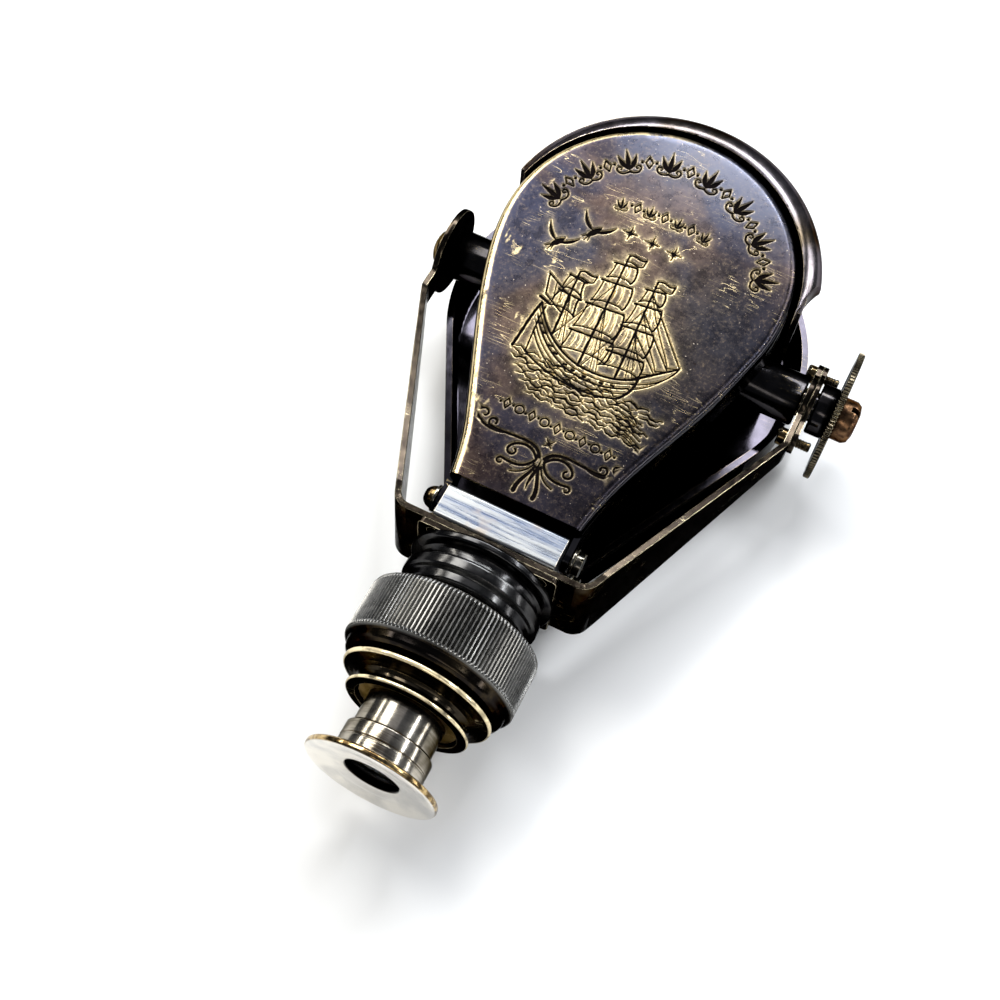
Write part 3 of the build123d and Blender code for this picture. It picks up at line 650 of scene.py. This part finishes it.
def build_thumbwheel():
    low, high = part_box("thumbwheel")
    thick = (high.x - low.x) / MM
    rim = (high.z - low.z) / 2 / MM
    turned_piece(
        "thumbwheel_serrated", "thumbwheel",
        [
            (0.0, 1.65), (0.0, 5.2), (0.18, 5.6), (0.3, 9.4), (0.22, 11.0), (0.0, 11.8), (0.0, rim - 0.25),
            (0.18, rim), (thick - 0.18, rim), (thick, rim - 0.25), (thick, 11.6), (thick - 0.3, 11.0),
            (thick - 0.38, 9.4), (thick - 0.2, 6.4), (thick, 5.9), (thick, 1.65),
        ],
        "dark_bronze", "objective_cell", axis="X", round_off=0.08, segments=WHEEL_TEETH * 8, shape=serration,
    )


def thread(start, end, crest):
    """A helical thread between two places along a screw, cut THREAD_DEPTH deep from its crest."""

    def shape(along, angle, radius):
        if along <= start or along >= end or radius < crest - 1e-6:
            return radius
        turn = (along / THREAD_PITCH - angle / (2 * math.pi)) % 1.0
        return radius - THREAD_DEPTH * (1 - abs(turn - 0.5) * 2)

    return shape


def build_bearing_screws():
    """Two slotted cheese-head screws along X, threaded where they stand out of the bearing plate."""
    low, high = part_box("bearing_plate_screws")
    crest, head_r, head = 1.0, 1.8, 1.7
    length = (high.x - low.x) / MM
    near, far = low.y / MM + head_r, high.y / MM - head_r
    profile = [(0.0, 0.0), (0.0, head_r - 0.3), (0.3, head_r), (head, head_r), (head, crest)]
    steps = int((length - 0.4 - head) / THREAD_STEP)
    profile += [(head + THREAD_STEP * k, crest) for k in range(1, steps)]
    profile += [(length - 0.3, crest), (length, 0.7), (length, 0.0)]
    bm = bmesh.new()
    for y in (near, far):
        lathe(bm, profile, "X", low.x / MM, 40, y, thread(head + 0.2, length - 0.4, crest))
    replaced = ["bearing_plate_screws"]
    piece = make_piece("bearing_screws_threaded", bm, "screw_brass", "frame", replaced, sharp=40.0)
    for y in (near, far):
        low_corner = (low.x / MM - 1, y - SLOT_HALF, AXIS_Z - 3)
        slot(piece, low_corner, (low.x / MM + 0.7, y + SLOT_HALF, AXIS_Z + 3))


def slot(piece, low, high):
    """Cuts a box out of a piece, between two corners."""
    bm = bmesh.new()
    low, high = Vector(low) * MM, Vector(high) * MM
    corners = [bm.verts.new(place) for place in product(*zip(low, high))]
    for side in ((0, 1, 3, 2), (4, 6, 7, 5), (0, 4, 5, 1), (2, 3, 7, 6), (0, 2, 6, 4), (1, 5, 7, 3)):
        bm.faces.new([corners[k] for k in side])
    bmesh.ops.recalc_face_normals(bm, faces=bm.faces)
    mesh = bpy.data.meshes.new("cutter")
    bm.to_mesh(mesh)
    bm.free()
    cutter = add_object("cutter", mesh)
    cut = piece.modifiers.new("slot", "BOOLEAN")
    cut.operation = "DIFFERENCE"
    cut.solver = "EXACT"
    cut.object = cutter
    bpy.context.view_layer.update()
    evaluated = piece.evaluated_get(bpy.context.evaluated_depsgraph_get())
    result = bpy.data.meshes.new_from_object(evaluated)
    piece.modifiers.remove(cut)
    piece.data = result
    bpy.data.objects.remove(cutter)


# ---- engraving on the top cover

# The design is drawn in the plane of the cover's face: across from the middle, along from the hinge end.
GROOVE_DEPTH = 0.34
GROOVE_WALL = 0.16  # width over which a groove's wall falls
CELL = 1.12  # coarse cell of the cover's face
FINE = 8  # fine cells along a coarse cell's side, near the engraving
SHIP_MIDDLE = 43.0  # along the face
SHIP_REACH = 15.0
TIGHT_HALO = 0.13  # how fast the rubbed gold beside a stroke fades
BROAD_HALO = 0.55


def bezier(a, b, c, d, count=14):
    """Points on a cubic curve."""
    a, b, c, d = (np.array(p, float) for p in (a, b, c, d))
    t = np.linspace(0, 1, count)[:, None]
    return a * (1 - t) ** 3 + 3 * b * t * (1 - t) ** 2 + 3 * c * t**2 * (1 - t) + d * t**3


def arc(centre, radius, start, end, count=16):
    """Points on a circle between two angles in degrees; radius may change along it, as in a curl."""
    angles = np.radians(np.linspace(start, end, count))
    radii = np.linspace(*radius, count) if hasattr(radius, "__len__") else radius
    return np.array(centre) + np.stack([radii * np.cos(angles), radii * np.sin(angles)], 1)


def moved(points, place=(0, 0), turn=0.0, size=1.0, flip=False):
    """A motif's points scaled, turned by degrees and moved, mirrored left to right first if flip is set."""
    points = np.array(points, float) * size
    if flip:
        points = points * (-1, 1)
    c, s = math.cos(math.radians(turn)), math.sin(math.radians(turn))
    return points @ np.array([[c, s], [-s, c]]) + np.array(place)


class Engraving:
    """The strokes of the design: points with a width at each end, and how deep the stroke goes."""

    def __init__(self):
        self.strokes = []

    def line(self, points, width=0.34, tip=None, depth=1.0):
        points = np.array(points, float)
        tip = width if tip is None else tip
        widths = np.linspace(width, tip, len(points))
        self.strokes.append((points, widths, depth))

    def leaf(self, points, width):
        """A stroke that swells in the middle and comes to a point at both ends."""
        points = np.array(points, float)
        swell = np.sin(np.linspace(0, math.pi, len(points)))
        self.strokes.append((points, 0.12 + (width - 0.12) * swell, 1.0))

    def loop(self, points, width=0.3):
        self.line(np.concatenate([points, points[:1]]), width)


def palmette(e, place, turn, size):
    """Three leaves on a short stem between two curls."""
    parts = [
        [(0, 0.4), (0, 2.0), (0, 4.4)],
        [(0.1, 0.6), (0.9, 1.7), (1.55, 3.3)],
        [(-0.1, 0.6), (-0.9, 1.7), (-1.55, 3.3)],
    ]
    for a, b, c in parts:
        e.leaf(moved(bezier(a, b, b, c, 10), place, turn, size), 0.85 * size)
    stalk = bezier((0, 0.3), (0.9, -0.4), (1.9, 0.0), (2.0, 0.9), 8)
    curl = np.concatenate([stalk, arc((1.5, 0.9), (0.5, 0.2), 0, 250, 10)])
    for flip in (False, True):
        e.line(moved(curl, place, turn, size, flip), 0.36 * size, 0.26 * size)


def lozenge(e, place, turn, size):
    """A small diamond with a dot at each side."""
    corners = np.array([(0, 1.1), (0.62, 0), (0, -1.1), (-0.62, 0)]) * size
    e.loop(moved(corners, place, turn), 0.3 * size)
    for side in (-1, 1):
        dot = np.array([(side * 1.25, -0.02), (side * 1.25, 0.02)]) * size
        e.line(moved(dot, place, turn), 0.55 * size)


def star(e, place, turn, size):
    """A four-pointed compass star."""
    for k in range(4):
        point = moved([(0, 0.1), (0, 0.8), (0, 1.7)], place, turn + 90 * k, size)
        e.line(point, 0.62 * size, 0.1)
    for k in range(4):
        e.line(moved([(0, 0.2), (0, 0.9)], place, turn + 45 + 90 * k, size), 0.3 * size, 0.1)


def draw_frieze(e):
    """An arch of palmettes and lozenges round the wide end."""
    centre, radius = (0.3, 56.0), 20.6
    steps = 14
    for k in range(steps + 1):
        angle = 163 - k * (163 - 17) / steps
        where = moved([(radius + (0.0 if k % 2 == 0 else 2.3), 0)], centre, angle)[0]
        if k % 2 == 0:
            palmette(e, where, angle - 90, 1.2)
        else:
            lozenge(e, where, angle - 90, 1.15)


def draw_small_rows(e):
    """A curved row of leaves and a row of stars below the arch, and a beaded row below the ship."""
    for k in range(7):
        x = -8.4 + 2.8 * k
        y = 66.2 + 1.0 * math.cos(x / 9.0 * 1.3)
        if k % 2:
            lozenge(e, (x, y), -3.0, 1.05)
        else:
            palmette(e, (x, y - 1.5), -x * 1.5, 0.62)
    for k in range(3):
        star(e, (-4.6 + 4.7 * k, 61.2 - 0.3 * k), 0, 0.95)
    for k in range(9):
        x = -9.8 + 2.6 * k
        y = 18.6 - 0.06 * (x + 9.8)
        if k % 2:
            e.loop(arc((x, y), 0.85, 0, 340, 12), 0.34)
        else:
            lozenge(e, (x, y), 4.0, 1.0)


def draw_bird(e, place, turn, size):
    """A gull with raised wings."""
    e.leaf(moved(bezier((0.2, 0), (-0.9, 0.9), (-1.9, 2.2), (-2.1, 4.4)), place, turn, size), 0.75 * size)
    e.leaf(moved(bezier((0.2, 0), (1.6, -0.2), (3.0, 0.3), (4.4, 1.5)), place, turn, size), 0.75 * size)
    e.leaf(moved(bezier((-1.0, -1.2), (-0.3, -0.5), (0.7, 0.2), (1.6, 1.1)), place, turn, size), 1.3 * size)
    for tail in ((-1.9, -1.5), (-1.4, -2.2), (-0.7, -2.3)):
        e.line(moved([(-0.3, -0.5), tail], place, turn, size), 0.4 * size, 0.2)


def draw_scroll(e):
    """A flourish near the hinge end: two long arms, inner curls and a leaf, the same on both sides."""
    centre = (0.6, 12.2)
    for flip in (False, True):
        def put(points, width, tip):
            e.line(moved(points, centre, 0, 1.0, flip), width, tip)

        put(bezier((0.5, -0.6), (2.4, 2.8), (6.5, 0.4), (11.6, 1.2), 20), 0.75, 0.4)
        put(np.concatenate([bezier((8.6, 0.9), (10.4, 0.4), (12.6, 0.6), (14.0, 1.9), 10),
                            arc((13.2, 2.9), (1.35, 0.4), -40, 250, 16)]), 0.6, 0.42)
        put(arc((10.9, 2.0), (0.95, 0.5), -60, 200, 12), 0.42, 0.5)
        put(np.concatenate([bezier((0.8, -1.2), (2.6, 1.6), (6.2, 0.4), (6.4, -1.5), 14),
                            arc((5.4, -1.5), (1.0, 0.45), 0, -240, 14)]), 0.62, 0.45)
        put(np.concatenate([bezier((0.9, -1.6), (2.0, -3.9), (4.4, -4.1), (6.6, -3.6), 12),
                            arc((6.6, -4.3), (0.7, 0.35), 90, -150, 12)]), 0.6, 0.4)
        put(bezier((0.7, -2.2), (1.6, -4.6), (3.0, -5.0), (4.2, -5.4), 10), 0.42, 0.25)
        put(bezier((0.4, -2.6), (0.7, -4.6), (2.2, -6.4), (1.9, -8.4), 12), 0.6, 0.9)
    e.leaf(moved(bezier((0, -1.0), (0.6, -3.0), (-0.6, -5.0), (0, -7.4)), centre), 0.7)
    star(e, (centre[0], centre[1] + 2.4), 45, 0.7)


def sail(e, top_left, top_right, drop, belly):
    """A square sail: two yards and bowed leeches, with fold lines down the cloth."""
    left, right = np.array(top_left, float), np.array(top_right, float)
    low_left = left + (-0.35, -drop)
    low_right = right + (0.5, -drop)
    push = np.array([belly, 0.15 * drop])
    e.line([left - (0.3, 0), right + (0.3, 0)], 0.46)
    left_leech = bezier(left, left + push * 0.6, low_left + push * 0.5, low_left, 10)
    right_leech = bezier(right, right + push, low_right + push, low_right, 10)
    e.line(left_leech, 0.3)
    e.line(right_leech, 0.42)
    e.line(bezier(low_left, low_left + (1.0, 0.9), low_right + (-1.0, 0.9), low_right, 10), 0.34)
    folds = max(2, int((right[0] - left[0]) / 1.1))
    for k in range(1, folds):
        t = k / folds
        start = left * (1 - t) + right * t
        end = low_left * (1 - t) + low_right * t + (0, 0.75)
        fold = bezier(start - (0, 0.4), start + push * 0.8 - (0, 0.3 * drop), end + push * 0.7, end, 8)
        e.line(fold, 0.16, 0.22, 0.7)


def draw_ship(e):
    """A three-masted ship under sail, bow to the right, with flags, rigging and open water."""
    stern, waist, bow = (-13.2, 40.2), (-2.0, 31.4), (9.6, 33.6)
    aft = bezier(stern, (-10.5, 35.6), (-6.5, 32.4), waist, 16)
    rail = np.concatenate([aft, bezier(waist, (2.5, 30.6), (6.5, 31.4), bow, 12)])
    e.line(rail, 0.5)
    for drop, width, trim in ((0.95, 0.26, 0), (2.0, 0.4, 1), (3.1, 0.22, 1), (4.2, 0.34, 2)):
        e.line((rail - (0, drop))[trim : len(rail) - trim], width)
    e.line(bezier(stern, (-14.0, 37.0), (-13.9, 33.0), (-14.3, 29.8)), 0.62)
    e.line(bezier((-12.2, 39.6), (-12.4, 36.0), (-11.8, 32.5), (-11.6, 29.6)), 0.36)
    e.line([stern + np.array((-0.9, 1.1)), stern + np.array((1.2, 0.4))], 0.62)
    e.line(bezier(bow, (9.8, 31.2), (8.8, 29.4), (7.6, 28.2)), 0.6)
    e.line(bezier((-11.6, 29.6), (-5.0, 26.4), (2.0, 25.9), (7.6, 28.2), 20), 0.42)
    for k in range(9):
        t = (k + 1.2) / 10.5
        place = rail[int(t * (len(rail) - 1))] - (0, 1.48)
        e.line([place - (0.28, 0), place + (0.28, 0)], 0.5)

    # masts, with flags at their heads
    masts = (((-8.6, 35.2), (-9.6, 49.4)), ((-1.6, 31.2), (-2.6, 56.6)), ((5.6, 32.0), (4.6, 53.8)))
    for foot, head in masts:
        head = np.array(head)
        e.line([foot, head], 0.56, 0.4)
        flag = bezier(head, head + (1.3, 1.0), head + (2.3, -0.7), head + (3.4, 0.4))
        e.line(flag, 0.4)
        e.line(flag - (0.06, 1.5), 0.34)
        e.line([flag[-1], flag[-1] - (0.06, 1.5)], 0.34)
        e.line([flag[0], flag[0] - (0.06, 1.5)], 0.34)

    # square sails on the main and the fore mast, top to bottom
    for middle, rows in ((-2.4, ((54.6, 1.9, 3.6), (50.2, 2.7, 5.0), (44.4, 3.5, 5.6), (38.0, 4.0, 4.4))),
                         (4.9, ((51.9, 1.6, 3.0), (48.2, 2.3, 4.6), (42.9, 2.9, 5.2), (37.0, 3.3, 3.4)))):
        for k, (top, half, drop) in enumerate(rows):
            lean = 0.16 * k
            sail(e, (middle - half + lean, top - 0.5), (middle + half + lean, top + 0.1), drop, 0.75)
    for top, half, drop in ((48.0, 1.5, 3.2), (44.2, 2.0, 3.8)):
        sail(e, (-9.3 - half, top), (-9.1 + half, top - 0.4), drop, -0.5)

    # gaff sail at the stern, jibs and bowsprit at the bow
    gaff = [(-9.0, 39.8), (-13.4, 42.2), (-14.6, 46.6), (-9.4, 43.8)]
    e.loop(np.array(gaff), 0.36)
    for t in (0.3, 0.6):
        a = np.array(gaff[0]) * (1 - t) + np.array(gaff[1]) * t
        b = np.array(gaff[3]) * (1 - t) + np.array(gaff[2]) * t
        e.line([a, b], 0.2)
    tip = np.array((15.6, 38.8))
    e.line([(8.6, 33.0), tip], 0.66, 0.4)
    for t, head in ((1.0, (4.7, 51.0)), (0.74, (5.0, 46.5)), (0.46, (5.2, 42.0))):
        foot = np.array((8.6, 33.0)) * (1 - t) + tip * t
        belly = (np.array(head) + foot) / 2 + (-1.4, -1.6)
        e.line([head, foot], 0.3)
        e.line(bezier(head, belly, foot + (-2.6, 0.6), foot + (-2.2, -0.9)), 0.24)
        e.line([foot + (-2.2, -0.9), foot], 0.26)
    e.line(bezier(tip, (15.0, 36.0), (12.4, 33.4), (8.9, 32.0)), 0.3)
    e.line(bezier(tip, (14.0, 34.6), (11.5, 32.2), (8.8, 30.8)), 0.24)

    # shrouds and stays
    for foot, head in (
        ((-6.0, 33.6), (-9.2, 44.5)), ((-7.2, 34.6), (-9.2, 44.5)), ((0.8, 31.2), (-2.1, 45.0)),
        ((2.0, 31.2), (-2.1, 45.0)), ((7.4, 32.4), (5.0, 43.5)), ((8.4, 33.0), (5.0, 43.5)),
        ((-8.4, 35.4), (-2.5, 49.5)), ((-1.0, 31.6), (4.7, 47.0)), ((-12.6, 40.0), (-9.5, 48.6)),
    ):
        e.line([foot, head], 0.2)


def draw_water(e, rng):
    """Rows of uneven ripples under the ship."""
    for row in range(9):
        y = 29.2 - 0.92 * row
        reach = 13.2 - 0.25 * row
        x = -reach - 1.2 + rng.uniform(-0.8, 0.8) + 0.5 * row
        while x < reach + 0.2 * row:
            length = rng.uniform(2.6, 6.5)
            t = np.linspace(0, 1, 14)
            swell = 0.28 * np.sin(t * length * 2.1 + rng.uniform(0, 6)) + 0.12 * np.sin(t * length * 5.0)
            points = np.stack([x + t * length, y - 0.10 * (x + t * length) * 0.6 + swell], 1)
            e.leaf(points, rng.uniform(0.30, 0.52))
            x += length + rng.uniform(0.1, 0.7)
    for k in range(6):
        y = 27.2 - 1.0 * k
        start = (8.0 + 0.5 * k, y)
        bend = (12.5 + 0.3 * k, y - 1.3)
        e.line(bezier(start, (10.5 + 0.4 * k, y - 0.1), bend, (14.2 + 0.3 * k, y - 2.0)), 0.36, 0.2)


def draw_design():
    rng = np.random.default_rng(7)
    e = Engraving()
    draw_frieze(e)
    draw_small_rows(e)
    draw_bird(e, (-16.6, 53.4), 12, 0.98)
    draw_bird(e, (-11.2, 58.4), 14, 1.0)
    draw_ship(e)
    draw_water(e, rng)
    draw_scroll(e)
    return e


def rasterise(e, xs, ys):
    """How far each grid point is from the nearest stroke's edge, and how deep the engraving is there."""
    reach = 1.6
    distance = np.full((len(xs), len(ys)), reach)
    depth = np.zeros((len(xs), len(ys)))
    pitch = xs[1] - xs[0]
    for points, widths, deep in e.strokes:
        for a, b, wide_a, wide_b in zip(points[:-1], points[1:], widths[:-1], widths[1:]):
            low = np.minimum(a, b) - reach
            high = np.maximum(a, b) + reach
            i0, i1 = np.clip([int((low[0] - xs[0]) / pitch), int((high[0] - xs[0]) / pitch) + 2], 0, len(xs))
            j0, j1 = np.clip([int((low[1] - ys[0]) / pitch), int((high[1] - ys[0]) / pitch) + 2], 0, len(ys))
            if i0 >= i1 or j0 >= j1:
                continue
            px, py = np.meshgrid(xs[i0:i1], ys[j0:j1], indexing="ij")
            along = b - a
            t = ((px - a[0]) * along[0] + (py - a[1]) * along[1]) / max(along @ along, 1e-9)
            t = np.clip(t, 0, 1)
            gap = np.hypot(px - a[0] - t * along[0], py - a[1] - t * along[1])
            gap -= (wide_a + (wide_b - wide_a) * t) / 2
            window = distance[i0:i1, j0:j1]
            np.minimum(window, gap, out=window)
            cut = np.clip(0.5 - gap / GROOVE_WALL, 0, 1)
            cut = deep * cut * cut * (3 - 2 * cut)
            window = depth[i0:i1, j0:j1]
            np.maximum(window, cut, out=window)
    return distance, depth


def flat_face(bm):
    """The faces of the cover's flat top, its plane's upward and along axes, and its level along the first."""
    biggest = max((f for f in bm.faces if f.normal.z > 0.8), key=lambda f: f.calc_area())
    up = biggest.normal.copy()
    along = Vector((0, up.z, -up.y)).normalized()
    level = biggest.verts[0].co.dot(up)
    faces = [f for f in bm.faces if f.normal.dot(up) > 0.99995 and abs(f.verts[0].co.dot(up) - level) < 2e-6]
    return faces, up, along, level


def ordered_border(faces):
    """The corners round a patch of faces, in order."""
    inside = set(faces)
    after = {}
    for face in faces:
        for loop in face.loops:
            if not any(other in inside for other in loop.edge.link_faces if other is not face):
                after[loop.vert] = loop.link_loop_next.vert
    start = next(iter(after))
    border = [start]
    while after[border[-1]] is not start:
        border.append(after[border[-1]])
    return border


def inside_outline(px, py, outline):
    """Whether points lie inside a closed outline, by counting the sides that a ray crosses."""
    crossed = np.zeros(px.shape, bool)
    for a, b in zip(outline, np.roll(outline, -1, 0)):
        if a[1] == b[1]:
            continue
        spans = (a[1] > py) != (b[1] > py)
        crossed ^= spans & (px < (b[0] - a[0]) * (py - a[1]) / (b[1] - a[1]) + a[0])
    return crossed


def build_top_cover():
    """The cover with its flat face rebuilt: fine cells with grooves along the design, else coarse ones."""
    bm = bmesh.new()
    bm.from_mesh(nodes["top_cover"].data)
    bmesh.ops.remove_doubles(bm, verts=bm.verts, dist=2e-6)
    bm.normal_update()
    faces, up, along, level = flat_face(bm)
    border = ordered_border(faces)
    bmesh.ops.delete(bm, geom=faces, context="FACES_ONLY")
    # the hinge end of the face is where the design's own measure starts
    hinge_end = min(v.co.dot(along) for v in border)
    along_zero = hinge_end - 2.2 * MM
    outline = np.array([(v.co.x / MM, (v.co.dot(along) - along_zero) / MM) for v in border])

    columns = int(np.ceil(np.ptp(outline[:, 0]) / CELL / 2)) * 2 + 2
    rows = int(np.ceil(np.ptp(outline[:, 1]) / CELL)) + 1
    x_start = -columns / 2 * CELL
    y_start = outline[:, 1].min() + 0.35
    fine_x = x_start + CELL / FINE * np.arange(columns * FINE + 1)
    fine_y = y_start + CELL / FINE * np.arange(rows * FINE + 1)
    distance, depth = rasterise(draw_design(), fine_x, fine_y)

    # a coarse cell is kept when it lies well inside the outline, and is cut up when a stroke is near
    px, py = np.meshgrid(fine_x[::FINE], fine_y[::FINE], indexing="ij")
    turns = np.linspace(0, 6.28, 13)[:-1]
    ring = np.stack([np.cos(turns), np.sin(turns)], 1) * 0.35
    safe = np.ones(px.shape, bool)
    for dx, dy in ring:
        safe &= inside_outline(px + dx, py + dy, outline)
    kept = safe[:-1, :-1] & safe[1:, :-1] & safe[:-1, 1:] & safe[1:, 1:]
    near = np.zeros(kept.shape, bool)
    for i in range(columns):
        for j in range(rows):
            patch = distance[i * FINE : (i + 1) * FINE + 1, j * FINE : (j + 1) * FINE + 1]
            near[i, j] = kept[i, j] and patch.min() < 0.45

    made = {}

    def corner(i, j):
        """The vertex at a fine grid point."""
        if (i, j) not in made:
            height = level / MM - GROOVE_DEPTH * depth[i, j]
            place = up * height + along * (fine_y[j] + along_zero / MM)
            made[i, j] = bm.verts.new((Vector((fine_x[i], 0, 0)) + place) * MM)
        return made[i, j]

    def cell_is(mask, i, j):
        return 0 <= i < columns and 0 <= j < rows and mask[i, j]

    def side_points(i0, j0, i1, j1, finely):
        """Fine points from one coarse corner up to the next, all of them or only the first."""
        if not finely:
            return [corner(i0 * FINE, j0 * FINE)]
        di, dj = i1 - i0, j1 - j0
        return [corner(i0 * FINE + di * k, j0 * FINE + dj * k) for k in range(FINE)]

    gap_edges = []
    for i in range(columns):
        for j in range(rows):
            if not kept[i, j]:
                continue
            around = (
                (i, j, i + 1, j, i, j - 1),
                (i + 1, j, i + 1, j + 1, i + 1, j),
                (i + 1, j + 1, i, j + 1, i, j + 1),
                (i, j + 1, i, j, i - 1, j),
            )
            if near[i, j]:
                for u in range(FINE):
                    for v in range(FINE):
                        a, b = i * FINE + u, j * FINE + v
                        bm.faces.new([corner(a, b), corner(a + 1, b), corner(a + 1, b + 1), corner(a, b + 1)])
            else:
                loop = []
                for i0, j0, i1, j1, other_i, other_j in around:
                    loop += side_points(i0, j0, i1, j1, cell_is(near, other_i, other_j))
                bm.faces.new(loop)
            for i0, j0, i1, j1, other_i, other_j in around:
                if not cell_is(kept, other_i, other_j):
                    points = side_points(i0, j0, i1, j1, near[i, j]) + [corner(i1 * FINE, j1 * FINE)]
                    gap_edges += list(zip(points[:-1], points[1:]))

    # the ragged gap between the cells and the outline is filled with triangles
    ring_edges = list(zip(border, border[1:] + border[:1]))
    loose = list(dict.fromkeys([v for edge in ring_edges + gap_edges for v in edge]))
    index = {v: k for k, v in enumerate(loose)}
    flat = [Vector((v.co.x / MM, (v.co.dot(along) - along_zero) / MM)) for v in loose]
    edges = [(index[a], index[b]) for a, b in ring_edges + gap_edges]
    _, _, triangles, origin, _, _ = delaunay_2d_cdt(flat, edges, [], 0, 1e-7)
    for triangle in triangles:
        corners = [loose[origin[k][0]] for k in triangle if origin[k]]
        if len(corners) < 3:
            continue
        x = sum(flat[index[v]].x for v in corners) / 3
        y = sum(flat[index[v]].y for v in corners) / 3
        i, j = int((x - x_start) // CELL), int((y - y_start) // CELL)
        if cell_is(kept, i, j) or not inside_outline(np.array([x]), np.array([y]), outline)[0]:
            continue
        bm.faces.new(corners)

    bm.verts.index_update()
    cut = {v.index: key for key, v in made.items()}
    count = len(bm.verts)
    values = {layer: np.zeros(count, np.float32) for layer in ("groove", "halo", "side")}
    for v in bm.verts:
        if v.index not in cut:
            values["side"][v.index] = (level - v.co.dot(up)) / MM
            continue
        i, j = cut[v.index]
        away = math.hypot(fine_x[i], fine_y[j] - SHIP_MIDDLE) / SHIP_REACH
        near_ship = min(1.0, max(0.0, 1.9 - away))
        gap = max(distance[i, j], 0.0)
        tight = math.exp(-gap / TIGHT_HALO) * (0.55 + 0.45 * near_ship)
        broad = 0.42 * math.exp(-gap / BROAD_HALO) * near_ship
        values["groove"][v.index] = depth[i, j]
        values["halo"][v.index] = min(1.0, tight + broad)
    piece = make_piece("engraved_top_cover", bm, "cover_brass", "top_shell", ["top_cover"], sharp=60.0)
    for layer, numbers in values.items():
        piece.data.attributes.new(layer, "FLOAT", "POINT").data.foreach_set("value", numbers)


# ---- carried-over CAD nodes

# Nodes whose sharp corners are rounded, and by how many millimetres.
BEVELLED = {
    "yoke": 0.16, "yoke_base_plate": 0.14, "hinge_block": 0.25, "bearing_plate": 0.12,
    "thumbwheel_screw": 0.18, "left_trunnion_screw": 0.12, "right_pivot_screws": 0.1, "pivot_washers": 0.08,
    "left_trunnion_washer": 0.1, "bottom_casing": 0.38, "front_guard": 0.3, "thumbwheel_hub": 0.1,
}


def dress_cad_nodes():
    """Every CAD node gets its slot's material, welded corners and, where it helps, rounded edges."""
    for part in frame["record"]["subparts"]:
        node = nodes[part["node"]]
        node.data.materials.clear()
        node.data.materials.append(materials[VARIANTS.get(part["node"], part["material_slot"])])
        weld = node.modifiers.new("weld", "WELD")
        weld.merge_threshold = 1e-6
        width = BEVELLED.get(part["node"])
        if width:
            bevel = node.modifiers.new("bevel", "BEVEL")
            bevel.width = width * MM
            bevel.segments = 2
            bevel.limit_method = "ANGLE"
            bevel.angle_limit = math.radians(35)


build_camera()
build_stage()
materials = build_materials()
dress_cad_nodes()
build_eyepiece()
build_focus_drive()
build_collar()
build_thumbwheel()
build_bearing_screws()
build_top_cover()
